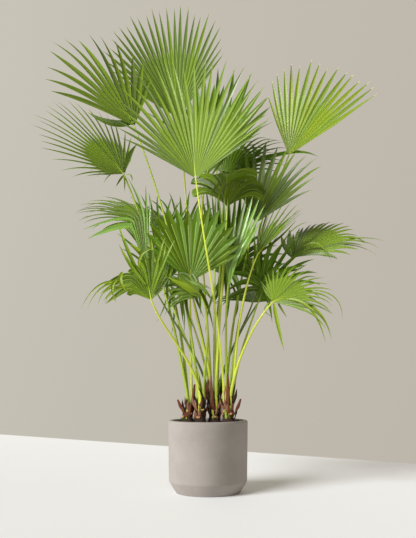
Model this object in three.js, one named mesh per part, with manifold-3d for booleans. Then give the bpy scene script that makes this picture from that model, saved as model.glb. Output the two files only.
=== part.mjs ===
// Potted fan palm: a clump of five short stems in a round tub, each with a whorl of long stalks
// that end in pleated fans. Millimetres, +Z up. The origin is the centre of the tub's flat
// underside, +X is to the right and -Y is the front.
import * as THREE from 'three';
import Module from 'manifold-3d';

const wasm = await Module();
wasm.setup();

// The tub, a thick-walled pot whose foot is drawn in by a chamfer
const POT_HEIGHT = 264;
const POT_RIM_RADIUS = 150;
const POT_TAPER = 4;
const POT_WALL = 19;
const POT_FLOOR = 24;
const RIM_ROUND = 7;
const CHAMFER_RISE = 42;
const FOOT_RADIUS = 119.5;
const POT_SIDES = 48;

// The potting mix, level where the stems stand and a little lower along the wall
const SOIL_LEVEL = 243;
const SOIL_EDGE_DROP = 5;
const SOIL_EDGE_WIDTH = 14;

// Pieces that touch keep this gap
const SEAT_GAP = 0.3;

// The stems, flared at the soil and swollen again where the stalks leave them
const STEM_FLARE_RADIUS = 25;
const STEM_WAIST_RADIUS = 16;
const STEM_SIDES = 12;
const STUB_RADIUS = 8;
const SHEATH_WIDTH = 13;
const SHEATH_THICKNESS = 3.2;
const SHEATH_ROOT_DEPTH = 18;

// The stalks. They rise from seats in a ring on a stem's top, lean over and end at a fan's hub.
// The shares are of the straight way from the seat to the hub.
const STALK_FOOT_RADIUS = 6.2;
const STALK_TIP_RADIUS = 3.1;
const STALK_SIDES = 6;
const STALK_STEPS = 9;
const SEAT_SPACING = 1.2;
const RISE_SHARE = 0.34;
const LEAN_SHARE = 0.12;
const ARRIVAL_SHARE = 0.3;
const STRAIGHTNESS = 1.2;
const STAND_OFF_STEP = 0.1;

// The fans. The shares are of the frond's longest leaflet.
const LEAST_THICKNESS = 3.2;
const THICKNESS_SHARE = 0.0102;
const RAGGEDNESS = 0.07;
const PLEAT_SHARE = 0.13;
const RIB_STEPS = 12;
const FREE_PART_WAIST = 0.55;
const FREE_PART_WIDTH = 0.78;

const DEGREE = Math.PI / 180;
const UP = new THREE.Vector3(0, 0, 1);

// One entry for each stem: where its foot and its crown stand, the cut stubs of old leaves round
// it and the torn sheaths that rise beside the stalks. Turns are degrees from +X towards +Y.
const STEMS = [
  {
    name: 'a', foot: [-78, 8], crown: [-71, 8, 325],
    stubs: [{ turn: 215, height: 14, length: 24 }, { turn: 300, height: 34, length: 16 }],
    sheaths: [
      { turn: 200, height: 52, lean: 0.42, length: 50 },
      { turn: 330, height: 55, lean: 0.1, length: 74 },
    ],
  },
  {
    name: 'b', foot: [-30, -26], crown: [-26, -26, 352],
    stubs: [{ turn: 250, height: 18, length: 20 }, { turn: 290, height: 48, length: 18 }],
    sheaths: [
      { turn: 20, height: 78, lean: 0.12, length: 66 },
      { turn: 205, height: 66, lean: 0.3, length: 44 },
    ],
  },
  {
    name: 'c', foot: [24, 12], crown: [21, 14, 338],
    stubs: [{ turn: 275, height: 20, length: 18 }],
    sheaths: [
      { turn: 250, height: 52, lean: 0.08, length: 92 },
      { turn: 10, height: 60, lean: 0.1, length: 84 },
    ],
  },
  {
    name: 'd', foot: [76, -14], crown: [78, -12, 342],
    stubs: [{ turn: 285, height: 26, length: 26 }, { turn: 200, height: 40, length: 16 }],
    sheaths: [
      { turn: 350, height: 48, lean: 0.34, length: 56 },
      { turn: 265, height: 70, lean: 0.04, length: 84 },
    ],
  },
  {
    name: 'e', foot: [26, 68], crown: [22, 72, 335],
    stubs: [{ turn: 90, height: 24, length: 22 }, { turn: 150, height: 46, length: 16 }],
    sheaths: [
      { turn: 60, height: 50, lean: 0.4, length: 58 },
      { turn: 170, height: 60, lean: 0.15, length: 70 },
    ],
  },
];

// One entry for each frond. hub: where the stalk meets the blade. aim: the way the blade's middle
// points. face: the way its upper side looks. reach: the longest leaflet. spread: degrees to the
// left and right of the middle, seen from the upper side. shortening: the share that the outermost
// leaflets on either side lack. joined: the share of a leaflet that is joined to its neighbours.
// fold: degrees by which the halves lift. droop: how far the tips give way to the pull of their
// weight, either everywhere or at the left and the right edge, where a value below zero keeps the
// leaflets on that side straight. onset: the share of the leaflet where that starts, and late: how
// slowly it sets in. bow: a sideways push on the stalk.
const FROND_DEFAULTS = {
  shortening: [0.36, 0.36], fold: 0, late: 2, onset: 0, pull: [0, 0, -1], bow: [0, 0, 0],
};

const FRONDS = [
  {
    name: '01', stem: 'd', hub: [-45, -200, 1150], aim: [-0.1, 0.03, 0.98], face: [0, -1, 0.03],
    reach: 480, spread: [54, 68], shortening: [0.4, 0.28], leaflets: 20, joined: 0.45, fold: 14,
    droop: 0.25, bow: [0, -30, 0],
  },
  {
    name: '02', stem: 'a', hub: [-125, 150, 1510], aim: [-0.16, -0.12, 0.98], face: [0, -1, -0.12],
    reach: 480, spread: [50, 52], shortening: [0.42, 0.3], leaflets: 18, joined: 0.54, fold: 14,
    droop: 0.12, bow: [0, 40, 0],
  },
  {
    name: '03', stem: 'b', hub: [-285, -100, 1385], aim: [-0.6, -0.1, 0.8], face: [0.5, -0.72, 0.42],
    reach: 440, spread: [60, 60], shortening: [0.45, 0.5], leaflets: 16, joined: 0.42,
    droop: 0.35, bow: [0, -20, 0],
  },
  {
    name: '04', stem: 'a', hub: [-340, 40, 1235], aim: [-0.68, 0, 0.73], face: [0.5, -0.6, 0.6],
    reach: 395, spread: [95, 72], shortening: [0.65, 0.4], leaflets: 20, joined: 0.42,
    droop: 0.3, bow: [-20, 45, 0],
  },
  {
    name: '05', stem: 'd', hub: [335, 110, 1335], aim: [0.52, 0.05, 0.86], face: [-0.25, -0.95, 0.1],
    reach: 460, spread: [50, 28], shortening: [0.4, 0.04], leaflets: 14, joined: 0.5, fold: 12,
    droop: 0.05, bow: [0, 48, 0],
  },
  {
    name: '06', stem: 'd', hub: [190, 50, 1035], aim: [0.46, 0.1, 0.87], face: [-0.3, -0.9, 0.3],
    reach: 375, spread: [48, 42], leaflets: 16, joined: 0.5, fold: 12,
    droop: 0.6, late: 3, bow: [0, 50, 0],
  },
  {
    name: '07', stem: 'c', hub: [75, -45, 1080], aim: [0.05, 0.3, 0.93], face: [0, -0.93, 0.3],
    reach: 240, spread: [48, 52], leaflets: 14, joined: 0.5,
    droop: 2.4, bow: [0, -20, 0],
  },
  {
    name: '08', stem: 'c', hub: [-65, -120, 775], aim: [-0.02, 0.05, 0.99], face: [0, -0.99, 0.06],
    reach: 300, spread: [50, 62], leaflets: 18, joined: 0.55, fold: 8,
    droop: 0.25, bow: [0, 30, 0],
  },
  {
    name: '09', stem: 'b', hub: [-205, -190, 700], aim: [-0.2, 0, 0.98], face: [0.02, -0.99, 0.05],
    reach: 300, spread: [55, 62], shortening: [0, 0.7], leaflets: 16, joined: 0.43,
    droop: [4, -2.5], late: 0.5, onset: 0.42, pull: [-0.75, 0, -1],
  },
  {
    name: '10', stem: 'c', hub: [-235, -50, 830], aim: [-0.2, 0, 0.98], face: [0.35, -0.93, 0],
    reach: 420, spread: [10, 16], shortening: [0.25, 0.4], leaflets: 10, joined: 0.5,
    droop: [6, -1.5], late: 0.6, onset: 0.48, pull: [-0.8, 0, -1], bow: [0, -20, 0],
  },
  {
    name: '11', stem: 'b', hub: [-170, 70, 790], aim: [-0.15, 0.05, 0.95], face: [0, -0.99, 0.1],
    reach: 350, spread: [38, 50], leaflets: 14, joined: 0.42,
    droop: 0.5,
  },
  {
    name: '12', stem: 'e', hub: [-105, 155, 950], aim: [-0.1, 0.2, 0.95], face: [0, -0.95, 0.2],
    reach: 275, spread: [52, 52], leaflets: 12, joined: 0.42, fold: 6,
    droop: 0.6,
  },
  {
    name: '13', stem: 'd', hub: [80, -85, 795], aim: [0.28, 0, 0.96], face: [-0.15, -0.98, 0.05],
    reach: 335, spread: [13, 17], leaflets: 6, joined: 0.55, fold: 20,
    droop: 0.1,
  },
  {
    name: '14', stem: 'd', hub: [190, -60, 890], aim: [0.66, 0, 0.75], face: [-0.5, -0.75, 0.45],
    reach: 260, spread: [34, 20], leaflets: 8, joined: 0.5, fold: 30,
    droop: 0.2,
  },
  {
    name: '15', stem: 'c', hub: [345, 80, 900], aim: [0.8, 0.1, 0.6], face: [-0.35, -0.66, 0.66],
    reach: 365, spread: [82, 40], shortening: [0.5, 0.3], leaflets: 18, joined: 0.45,
    droop: [0.2, 1.3], late: 1.5, bow: [0, 40, 0],
  },
  {
    name: '16', stem: 'd', hub: [240, -110, 700], aim: [0.88, 0.04, 0.4], face: [-0.25, -0.82, 0.5],
    reach: 300, spread: [95, 45], shortening: [0.6, 0.1], leaflets: 18, joined: 0.42,
    droop: [0.1, 1.6], bow: [0, -20, 0],
  },
  {
    name: '17', stem: 'd', hub: [200, 35, 725], aim: [0.42, 0, 0.9], face: [0.1, -0.95, 0.05],
    reach: 290, spread: [50, 62], leaflets: 16, joined: 0.42,
    droop: [0.1, 1], bow: [0, -15, 0],
  },
  {
    name: '18', stem: 'c', hub: [-10, 40, 1225], aim: [0.5, 0.04, 0.85], face: [-0.2, -0.95, 0.2],
    reach: 480, spread: [45, 38], shortening: [0.1, 0.3], leaflets: 18, joined: 0.45, fold: 12,
    droop: 0.2, bow: [0, 40, 0],
  },
  {
    name: '19', stem: 'b', hub: [-30, -165, 725], aim: [-0.85, 0, 0.5], face: [0.1, -0.95, 0.2],
    reach: 145, spread: [50, 50], leaflets: 8, joined: 0.5,
    droop: 1.2, bow: [0, -30, 0],
  },
  {
    name: '20', stem: 'a', hub: [-235, 230, 1060], aim: [-0.5, 0.6, 0.65], face: [0.3, -0.4, 0.85],
    reach: 380, spread: [85, 80], leaflets: 16, joined: 0.45,
    droop: 0.8,
  },
  {
    name: '21', stem: 'e', hub: [-120, 240, 800], aim: [-0.25, 0.82, 0.5], face: [0.2, -0.5, 0.85],
    reach: 260, spread: [80, 80], leaflets: 14, joined: 0.45,
    droop: 0.8,
  },
  {
    name: '22', stem: 'e', hub: [80, 200, 1255], aim: [0.38, 0.2, 0.85], face: [-0.2, -0.9, 0.4],
    reach: 320, spread: [60, 60], leaflets: 16, joined: 0.45, fold: 10,
    droop: 0.9, bow: [14, 6, 0],
  },
  {
    name: '23', stem: 'e', hub: [70, 240, 850], aim: [0.2, 0.42, 0.88], face: [0, -0.9, 0.42],
    reach: 340, spread: [75, 70], leaflets: 16, joined: 0.45,
    droop: 0.7,
  },
  {
    name: '24', stem: 'e', hub: [185, 200, 730], aim: [0.3, 0.8, 0.5], face: [-0.1, -0.45, 0.9],
    reach: 310, spread: [75, 75], leaflets: 14, joined: 0.45,
    droop: 0.8, bow: [10, -15, 0],
  },
  {
    name: '25', stem: 'c', hub: [40, 290, 1340], aim: [0.1, 0.65, 0.75], face: [0.1, -0.75, 0.65],
    reach: 360, spread: [70, 85], leaflets: 16, joined: 0.45, fold: 8,
    droop: 0.5, bow: [0, 60, 0],
  },
].map((frond) => ({ ...FROND_DEFAULTS, ...frond }));

// Materials
const stoneware = new THREE.MeshStandardMaterial({ color: 0xa79d93, roughness: 0.85, metalness: 0 });
const pottingMix = new THREE.MeshStandardMaterial({ color: 0x3d2e22, roughness: 0.95, metalness: 0 });
const bark = new THREE.MeshStandardMaterial({ color: 0x5a4030, roughness: 0.9, metalness: 0 });
const stalkGreen = new THREE.MeshStandardMaterial({ color: 0x9bb83c, roughness: 0.45, metalness: 0 });
const leafGreen = new THREE.MeshStandardMaterial({ color: 0x5f8f2a, roughness: 0.4, metalness: 0 });

const vector = (values) => new THREE.Vector3(...values);

// A steady pseudo-random share between 0 and 1 for a leaflet of a frond
function share(frondNumber, index) {
  const wave = Math.sin(frondNumber * 78.233 + index * 12.9898) * 43758.5453;
  return wave - Math.floor(wave);
}

function geometryOf(points, index) {
  const geometry = new THREE.BufferGeometry();
  const flat = points.flatMap((point) => [point.x, point.y, point.z]);
  geometry.setAttribute('position', new THREE.Float32BufferAttribute(flat, 3));
  geometry.setIndex(index);
  return geometry;
}

// A closed solid through rings of points, each turning anticlockwise about the way it is followed
function loft(rings) {
  const sides = rings[0].length;
  const index = [];
  for (let ring = 0; ring + 1 < rings.length; ring++) {
    for (let side = 0; side < sides; side++) {
      const next = (side + 1) % sides;
      const a = ring * sides + side;
      const b = ring * sides + next;
      index.push(a, b, b + sides, a, b + sides, a + sides);
    }
  }
  const last = (rings.length - 1) * sides;
  for (let side = 1; side + 1 < sides; side++) {
    index.push(0, side + 1, side);
    index.push(last, last + side, last + side + 1);
  }
  return geometryOf(rings.flat(), index);
}

// Rings round a path, with a radius for each share of the way along it
function ringsAlong(path, radiusAt, sides) {
  const rings = [];
  let normal = null;
  path.forEach((point, i) => {
    const before = path[Math.max(i - 1, 0)];
    const after = path[Math.min(i + 1, path.length - 1)];
    const tangent = after.clone().sub(before).normalize();
    const seed = normal ?? new THREE.Vector3(1, 0, 0);
    normal = seed.clone().addScaledVector(tangent, -seed.dot(tangent)).normalize();
    const binormal = tangent.clone().cross(normal);
    const radius = radiusAt(i / (path.length - 1));
    const ring = [];
    for (let side = 0; side < sides; side++) {
      const angle = (side / sides) * 2 * Math.PI;
      ring.push(
        point.clone()
          .addScaledVector(normal, radius * Math.cos(angle))
          .addScaledVector(binormal, radius * Math.sin(angle)),
      );
    }
    rings.push(ring);
  });
  return rings;
}

// A sheet given a thickness: its faces on both sides, and a wall along its free edge
function thicken(points, faces, thickness) {
  const normals = points.map(() => new THREE.Vector3());
  const edges = new Map();
  for (const [a, b, c] of faces) {
    const normal = points[b].clone().sub(points[a]).cross(points[c].clone().sub(points[a]));
    for (const corner of [a, b, c]) normals[corner].add(normal);
    for (const [from, to] of [[a, b], [b, c], [c, a]]) edges.set(`${from} ${to}`, [from, to]);
  }
  const half = thickness / 2;
  const upper = points.map((point, i) => point.clone().addScaledVector(normals[i].normalize(), half));
  const lower = points.map((point, i) => point.clone().addScaledVector(normals[i], -half));
  const count = points.length;
  const index = [];
  for (const [a, b, c] of faces) index.push(a, b, c, count + c, count + b, count + a);
  for (const [from, to] of edges.values()) {
    if (edges.has(`${to} ${from}`)) continue;
    index.push(to, from, count + from, to, count + from, count + to);
  }
  return geometryOf([...upper, ...lower], index);
}

function solidOf(geometry) {
  const mesh = new wasm.Mesh({
    numProp: 3,
    vertProperties: new Float32Array(geometry.getAttribute('position').array),
    triVerts: new Uint32Array(geometry.getIndex().array),
  });
  return new wasm.Manifold(mesh);
}

function geometryOfSolid(solid) {
  const mesh = solid.getMesh();
  const geometry = new THREE.BufferGeometry();
  geometry.setAttribute('position', new THREE.Float32BufferAttribute(mesh.vertProperties, 3));
  geometry.setIndex([...mesh.triVerts]);
  return geometry;
}

function joinAll(geometries) {
  return geometryOfSolid(geometries.map(solidOf).reduce((whole, piece) => whole.add(piece)));
}

// Tub and potting mix

function potGeometry() {
  const wallRadius = POT_RIM_RADIUS - POT_TAPER;
  const innerRadius = POT_RIM_RADIUS - POT_WALL;
  const innerFoot = FOOT_RADIUS - POT_WALL;
  const profile = [
    new THREE.Vector2(0, 0),
    new THREE.Vector2(FOOT_RADIUS, 0),
    new THREE.Vector2(wallRadius, CHAMFER_RISE),
    new THREE.Vector2(POT_RIM_RADIUS, POT_HEIGHT - RIM_ROUND),
  ];
  const arcSteps = 3;
  for (const [centre, from] of [[POT_RIM_RADIUS - RIM_ROUND, 0], [innerRadius + RIM_ROUND, 90]]) {
    for (let step = from ? 0 : 1; step <= arcSteps; step++) {
      const angle = (from + (step / arcSteps) * 90) * DEGREE;
      profile.push(
        new THREE.Vector2(
          centre + RIM_ROUND * Math.cos(angle),
          POT_HEIGHT - RIM_ROUND + RIM_ROUND * Math.sin(angle),
        ),
      );
    }
  }
  profile.push(new THREE.Vector2(innerRadius, POT_FLOOR + CHAMFER_RISE));
  profile.push(new THREE.Vector2(innerFoot, POT_FLOOR));
  profile.push(new THREE.Vector2(0, POT_FLOOR));
  return new THREE.LatheGeometry(profile, POT_SIDES).rotateX(Math.PI / 2);
}

function soilGeometry() {
  const radius = POT_RIM_RADIUS - POT_WALL - SEAT_GAP;
  const footRadius = FOOT_RADIUS - POT_WALL - SEAT_GAP;
  const profile = [
    new THREE.Vector2(0, POT_FLOOR + SEAT_GAP),
    new THREE.Vector2(footRadius, POT_FLOOR + SEAT_GAP),
    new THREE.Vector2(radius, POT_FLOOR + CHAMFER_RISE + SEAT_GAP),
    new THREE.Vector2(radius, SOIL_LEVEL - SOIL_EDGE_DROP),
    new THREE.Vector2(radius - SOIL_EDGE_WIDTH, SOIL_LEVEL),
    new THREE.Vector2(0, SOIL_LEVEL),
  ];
  return new THREE.LatheGeometry(profile, POT_SIDES).rotateX(Math.PI / 2);
}

// Stems

const stalksOf = (stem) => FRONDS.filter((frond) => frond.stem === stem.name);

// The circle on which a crown's stalks stand side by side
function seatRadius(stem) {
  const count = stalksOf(stem).length;
  return (STALK_FOOT_RADIUS + SEAT_SPACING / 2) / Math.sin(Math.PI / count);
}

const crownRadius = (stem) => seatRadius(stem) + STALK_FOOT_RADIUS + 0.5;

function stemGeometry(stem) {
  const foot = new THREE.Vector3(...stem.foot, SOIL_LEVEL + SEAT_GAP);
  const crown = vector(stem.crown);
  const top = crownRadius(stem);
  const outline = [
    [0, STEM_FLARE_RADIUS],
    [0.12, STEM_FLARE_RADIUS * 0.82],
    [0.35, STEM_WAIST_RADIUS + 1],
    [0.65, STEM_WAIST_RADIUS],
    [0.88, top],
    [1, top],
  ];
  const rings = outline.map(([rise, radius]) => {
    const centre = foot.clone().lerp(crown, rise);
    const ring = [];
    for (let side = 0; side < STEM_SIDES; side++) {
      const angle = (side / STEM_SIDES) * 2 * Math.PI;
      ring.push(centre.clone().add(new THREE.Vector3(radius * Math.cos(angle), radius * Math.sin(angle), 0)));
    }
    return ring;
  });
  return joinAll([
    loft(rings),
    ...stem.stubs.map((stub) => stubGeometry(stem, stub)),
    ...stem.sheaths.map((sheath) => sheathGeometry(stem, sheath)),
  ]);
}

const outwards = (turn) => new THREE.Vector3(Math.cos(turn * DEGREE), Math.sin(turn * DEGREE), 0);

// A point on the stem's middle line at a height above the soil
function stemMiddle(stem, height) {
  const rise = height / (stem.crown[2] - SOIL_LEVEL);
  const [x, y] = stem.foot;
  return new THREE.Vector3(
    x + (stem.crown[0] - x) * rise,
    y + (stem.crown[1] - y) * rise,
    SOIL_LEVEL + SEAT_GAP + height,
  );
}

// What is left of a cut leaf base: a short stump that leans out and ends in a flat cut
function stubGeometry(stem, stub) {
  const out = outwards(stub.turn);
  const start = stemMiddle(stem, stub.height).addScaledVector(out, STEM_WAIST_RADIUS * 0.4);
  const end = start.clone().addScaledVector(out, stub.length * 0.75).addScaledVector(UP, stub.length * 0.8);
  return loft(ringsAlong([start, end], (along) => STUB_RADIUS * (1 - 0.15 * along), 7));
}

// A torn strip of old leaf sheath, wide at its root and pointed at its tip
function sheathGeometry(stem, sheath) {
  const out = outwards(sheath.turn);
  const side = outwards(sheath.turn + 90);
  const rise = UP.clone().addScaledVector(out, sheath.lean).normalize();
  const away = side.clone().cross(rise).normalize();
  const rootRadius = STEM_WAIST_RADIUS - 4;
  const root = stemMiddle(stem, sheath.height - SHEATH_ROOT_DEPTH).addScaledVector(out, rootRadius);
  const mouth = crownRadius(stem) + SHEATH_THICKNESS / 2 - rootRadius;
  const rings = [0, 0.3, 0.7, 1].map((along) => {
    const half = (SHEATH_WIDTH / 2) * (along < 0.3 ? 1 : 1.25 - along * 1.15);
    const middle = root.clone().addScaledVector(rise, (sheath.length + SHEATH_ROOT_DEPTH) * along);
    middle.addScaledVector(out, mouth * Math.min(along / 0.3, 1));
    const thin = (SHEATH_THICKNESS / 2) * (1 - 0.6 * along);
    return [[1, 1], [-1, 1], [-1, -1], [1, -1]].map(([across, through]) =>
      middle.clone().addScaledVector(side, half * across).addScaledVector(away, thin * through));
  });
  return loft(rings.map((ring) => ring.reverse()));
}

// Stalks

// Each crown's stalks stand evenly round it, in the order of the ways that they lean
function seatTurns(stem) {
  const crown = vector(stem.crown);
  const heading = (frond) => Math.atan2(frond.hub[1] - crown.y, frond.hub[0] - crown.x);
  const sorted = stalksOf(stem).sort((one, other) => heading(one) - heading(other));
  const step = (2 * Math.PI) / sorted.length;
  let sine = 0;
  let cosine = 0;
  sorted.forEach((frond, rank) => {
    sine += Math.sin(heading(frond) - rank * step);
    cosine += Math.cos(heading(frond) - rank * step);
  });
  const first = Math.atan2(sine, cosine);
  return new Map(sorted.map((frond, rank) => [frond.name, first + rank * step]));
}

function thicknessOf(frond) {
  return Math.max(LEAST_THICKNESS, frond.reach * THICKNESS_SHARE);
}

function frameOf(frond) {
  const aim = vector(frond.aim).normalize();
  const face = vector(frond.face);
  face.addScaledVector(aim, -face.dot(aim)).normalize();
  return { hub: vector(frond.hub), aim, face, across: aim.clone().cross(face) };
}

// How far short of the hub a stalk that comes in along a direction ends, so that it just clears
// the blade
function standOffOf(frond, approach) {
  const blade = solidOf(fanGeometry(frond));
  const hub = vector(frond.hub);
  const radius = STALK_TIP_RADIUS * 1.03;
  for (let standOff = 0; ; standOff += STAND_OFF_STEP) {
    const end = hub.clone().addScaledVector(approach, SEAT_GAP - standOff);
    const start = end.clone().addScaledVector(approach, -4 * radius);
    const tip = solidOf(loft(ringsAlong([start, end], () => radius, 2 * STALK_SIDES)));
    if (blade.intersect(tip).isEmpty()) return standOff;
  }
}

function stalkCurve(frond, stem, seatTurn) {
  const { hub, aim } = frameOf(frond);
  const start = vector(stem.crown)
    .addScaledVector(outwards(seatTurn / DEGREE), seatRadius(stem))
    .add(new THREE.Vector3(0, 0, SEAT_GAP));
  const chord = hub.clone().sub(start);
  const length = chord.length();
  const bow = vector(frond.bow);
  const straight = aim.clone().addScaledVector(chord.clone().normalize(), STRAIGHTNESS).normalize();
  const arrival = straight.multiplyScalar(length * ARRIVAL_SHARE).sub(bow);
  const approach = arrival.clone().normalize();
  const end = hub.clone().addScaledVector(approach, -standOffOf(frond, approach));
  const lift = new THREE.Vector3(chord.x * LEAN_SHARE, chord.y * LEAN_SHARE, length * RISE_SHARE);
  return new THREE.CubicBezierCurve3(start, start.clone().add(lift).add(bow), end.clone().sub(arrival), end);
}

function stalkGeometry(frond, stem, seatTurn) {
  const path = stalkCurve(frond, stem, seatTurn).getSpacedPoints(STALK_STEPS);
  const radiusAt = (along) => STALK_FOOT_RADIUS + (STALK_TIP_RADIUS - STALK_FOOT_RADIUS) * along;
  const rings = ringsAlong(path, radiusAt, STALK_SIDES);
  rings[0].forEach((point) => { point.z = path[0].z; });
  return loft(rings);
}

// Fans

// How far a leaflet gives way, from one edge of its fan to the other
function droopAt(frond, turn) {
  const [left, right = left] = [frond.droop].flat();
  const side = (turn + frond.spread[0]) / (frond.spread[0] + frond.spread[1]);
  return Math.max(0, left + (right - left) * side);
}

// The middle line of the leaflet that leaves the hub at a turn, in degrees, from the fan's middle
function ribPath(frond, turn, lengthShare) {
  const { hub, aim, face, across } = frameOf(frond);
  const angle = turn * DEGREE;
  const fold = frond.fold * DEGREE;
  const sideways = Math.sin(angle);
  const leaving = aim.clone().multiplyScalar(Math.cos(angle))
    .addScaledVector(across, sideways * Math.cos(fold))
    .addScaledVector(face, Math.abs(sideways) * Math.sin(fold));
  const half = turn < 0 ? frond.spread[0] : frond.spread[1];
  const shortening = frond.shortening[turn < 0 ? 0 : 1];
  const length = frond.reach * lengthShare * (1 - shortening * Math.abs(turn / half) ** 3);
  const pull = vector(frond.pull);
  const droop = droopAt(frond, turn);
  const path = [hub];
  for (let step = 0; step < RIB_STEPS; step++) {
    const along = (step + 0.5) / RIB_STEPS;
    const loose = Math.max(0, (along - frond.onset) / (1 - frond.onset));
    const heading = leaving.clone().addScaledVector(pull, droop * loose ** frond.late).normalize();
    path.push(path[step].clone().addScaledVector(heading, length / RIB_STEPS));
  }
  return path;
}

function pointOn(path, along) {
  const place = along * (path.length - 1);
  const before = Math.min(Math.floor(place), path.length - 2);
  return path[before].clone().lerp(path[before + 1], place - before);
}

function fanGeometry(frond) {
  const { face } = frameOf(frond);
  const count = frond.leaflets;
  const width = (frond.spread[0] + frond.spread[1]) / count;
  const points = [vector(frond.hub)];
  const faces = [];
  const rings = [frond.joined * 0.5, frond.joined];
  const edgeAt = (edge, ring) => 1 + edge * rings.length + ring;
  for (let edge = 0; edge <= count; edge++) {
    const path = ribPath(frond, -frond.spread[0] + edge * width, 1);
    for (const along of rings) {
      const pleat = (edge % 2 ? 1 : -1) * PLEAT_SHARE * width * DEGREE * frond.reach * along;
      points.push(pointOn(path, along).addScaledVector(face, pleat));
    }
  }
  for (let leaflet = 0; leaflet < count; leaflet++) {
    const inner = [edgeAt(leaflet, 0), edgeAt(leaflet + 1, 0)];
    const outer = [edgeAt(leaflet, 1), edgeAt(leaflet + 1, 1)];
    faces.push([0, inner[1], inner[0]]);
    faces.push([inner[0], inner[1], outer[1]], [inner[0], outer[1], outer[0]]);
    const ragged = 1 - RAGGEDNESS * share(Number(frond.name), leaflet);
    const path = ribPath(frond, -frond.spread[0] + (leaflet + 0.5) * width, ragged);
    const waist = frond.joined + (1 - frond.joined) * FREE_PART_WAIST;
    const middle = pointOn(path, waist);
    const sideways = points[outer[1]].clone().sub(points[outer[0]]).multiplyScalar(FREE_PART_WIDTH / 2);
    const left = points.push(middle.clone().sub(sideways)) - 1;
    const right = points.push(middle.clone().add(sideways)) - 1;
    const tip = points.push(pointOn(path, 1)) - 1;
    faces.push([outer[0], outer[1], right], [outer[0], right, left], [left, right, tip]);
  }
  return thicken(points, faces, thicknessOf(frond));
}

const palm = new THREE.Group();

function addPiece(name, geometry, material) {
  const mesh = new THREE.Mesh(geometry, material);
  mesh.name = name;
  palm.add(mesh);
}

addPiece('pot', potGeometry(), stoneware);
addPiece('soil', soilGeometry(), pottingMix);
for (const stem of STEMS) {
  addPiece(`stem_${stem.name}`, stemGeometry(stem), bark);
  const turns = seatTurns(stem);
  for (const frond of stalksOf(stem)) {
    addPiece(`stalk_${frond.name}`, stalkGeometry(frond, stem, turns.get(frond.name)), stalkGreen);
  }
}
for (const frond of FRONDS) addPiece(`fan_${frond.name}`, fanGeometry(frond), leafGreen);

export default palm;
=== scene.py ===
"""Potted fan palm: leaflets, stalks, fibrous stems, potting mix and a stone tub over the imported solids.

The file is laid out as an add-on with one operator for each group of pieces, and is run as a script.
The plant grows by the rule of its solids, in their frame, and the finer pieces keep to their reach.
"""
import math
from dataclasses import dataclass

import bpy
import numpy as np
from bpy.props import FloatProperty
from bpy.props import FloatVectorProperty
from bpy.props import IntProperty
from bpy.props import PointerProperty
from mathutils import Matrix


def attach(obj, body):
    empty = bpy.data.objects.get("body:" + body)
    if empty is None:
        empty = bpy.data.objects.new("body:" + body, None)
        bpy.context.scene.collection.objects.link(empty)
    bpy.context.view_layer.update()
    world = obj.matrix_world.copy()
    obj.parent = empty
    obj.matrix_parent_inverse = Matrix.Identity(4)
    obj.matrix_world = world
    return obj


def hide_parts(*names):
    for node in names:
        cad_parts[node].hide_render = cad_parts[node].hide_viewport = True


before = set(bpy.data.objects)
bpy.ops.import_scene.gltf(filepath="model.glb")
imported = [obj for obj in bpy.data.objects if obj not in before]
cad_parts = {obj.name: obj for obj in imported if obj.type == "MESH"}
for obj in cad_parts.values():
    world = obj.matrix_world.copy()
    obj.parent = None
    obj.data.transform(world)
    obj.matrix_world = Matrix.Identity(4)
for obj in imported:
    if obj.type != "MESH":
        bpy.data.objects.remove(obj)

bl_info = {
    "name": "Potted Fan Palm",
    "version": (1, 0, 0),
    "blender": (4, 5, 0),
    "location": "3D View > Sidebar > Palm",
    "description": "Grows a potted fan palm's leaflets, stalks, stems and potting mix over its solids",
    "category": "Object",
}

MM = 0.001
UP = np.array([0.0, 0.0, 1.0])
TO_FRONT = np.array([0.0, -1.0, 0.0])

# The tub, in millimetres
POT_HEIGHT = 264
POT_RIM_RADIUS = 150
POT_TAPER = 4
POT_WALL = 19
POT_FLOOR = 24
RIM_ROUND = 7
CHAMFER_RISE = 42
FOOT_RADIUS = 119.5

# The potting mix
SOIL_LEVEL = 243
SOIL_EDGE_DROP = 5
SOIL_EDGE_WIDTH = 14
SEAT_GAP = 0.3
SURFACE_RADII = (20, 50, 80, 105, 128)

# The stems. A torn sheath clasps its stem over the held share of its length, and its free end twists
# round over the twisting share.
STEM_FLARE_RADIUS = 31
STEM_WAIST_RADIUS = 16
STUB_RADIUS = 8
SHEATH_WIDTH = 13
SHEATH_ROOT_DEPTH = 18
SHEATH_POINTS = 12
SHEATH_HELD = 0.3
SHEATH_TWIST = 0.85
TWISTING_SHARE = 0.3
WRAP_POINTS = 14
WRAP_HALF_WIDTH = 10.5
WRAP_LEAST_REACH = 14
WRAP_MORE_REACH = 78
BASE_POINTS = 7
TRUNK_SIDES = 48
TRUNK_RINGS = 56
SCALE_HEIGHT = 15
GOLDEN_TURN = 137.5

# The stalks. Rise, lean and arrival are shares of the straight way from the seat to the hub, the clasp
# is one of the stalk's length and the midrib one of the middle leaflet's.
STALK_FOOT_RADIUS = 6.2
SEAT_SPACING = 1.2
RISE_SHARE = 0.34
LEAN_SHARE = 0.12
ARRIVAL_SHARE = 0.3
STRAIGHTNESS = 1.2
STALK_POINTS = 30
CLASP_SHARE = 0.07
CLASP_SWELL = 0.35
FRONT_BASE_DROP = 80
LEAST_BASE_DROP = 25
MORE_BASE_DROP = 45
MIDRIB_SHARE = 0.17
MIDRIB_POINTS = 6

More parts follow.
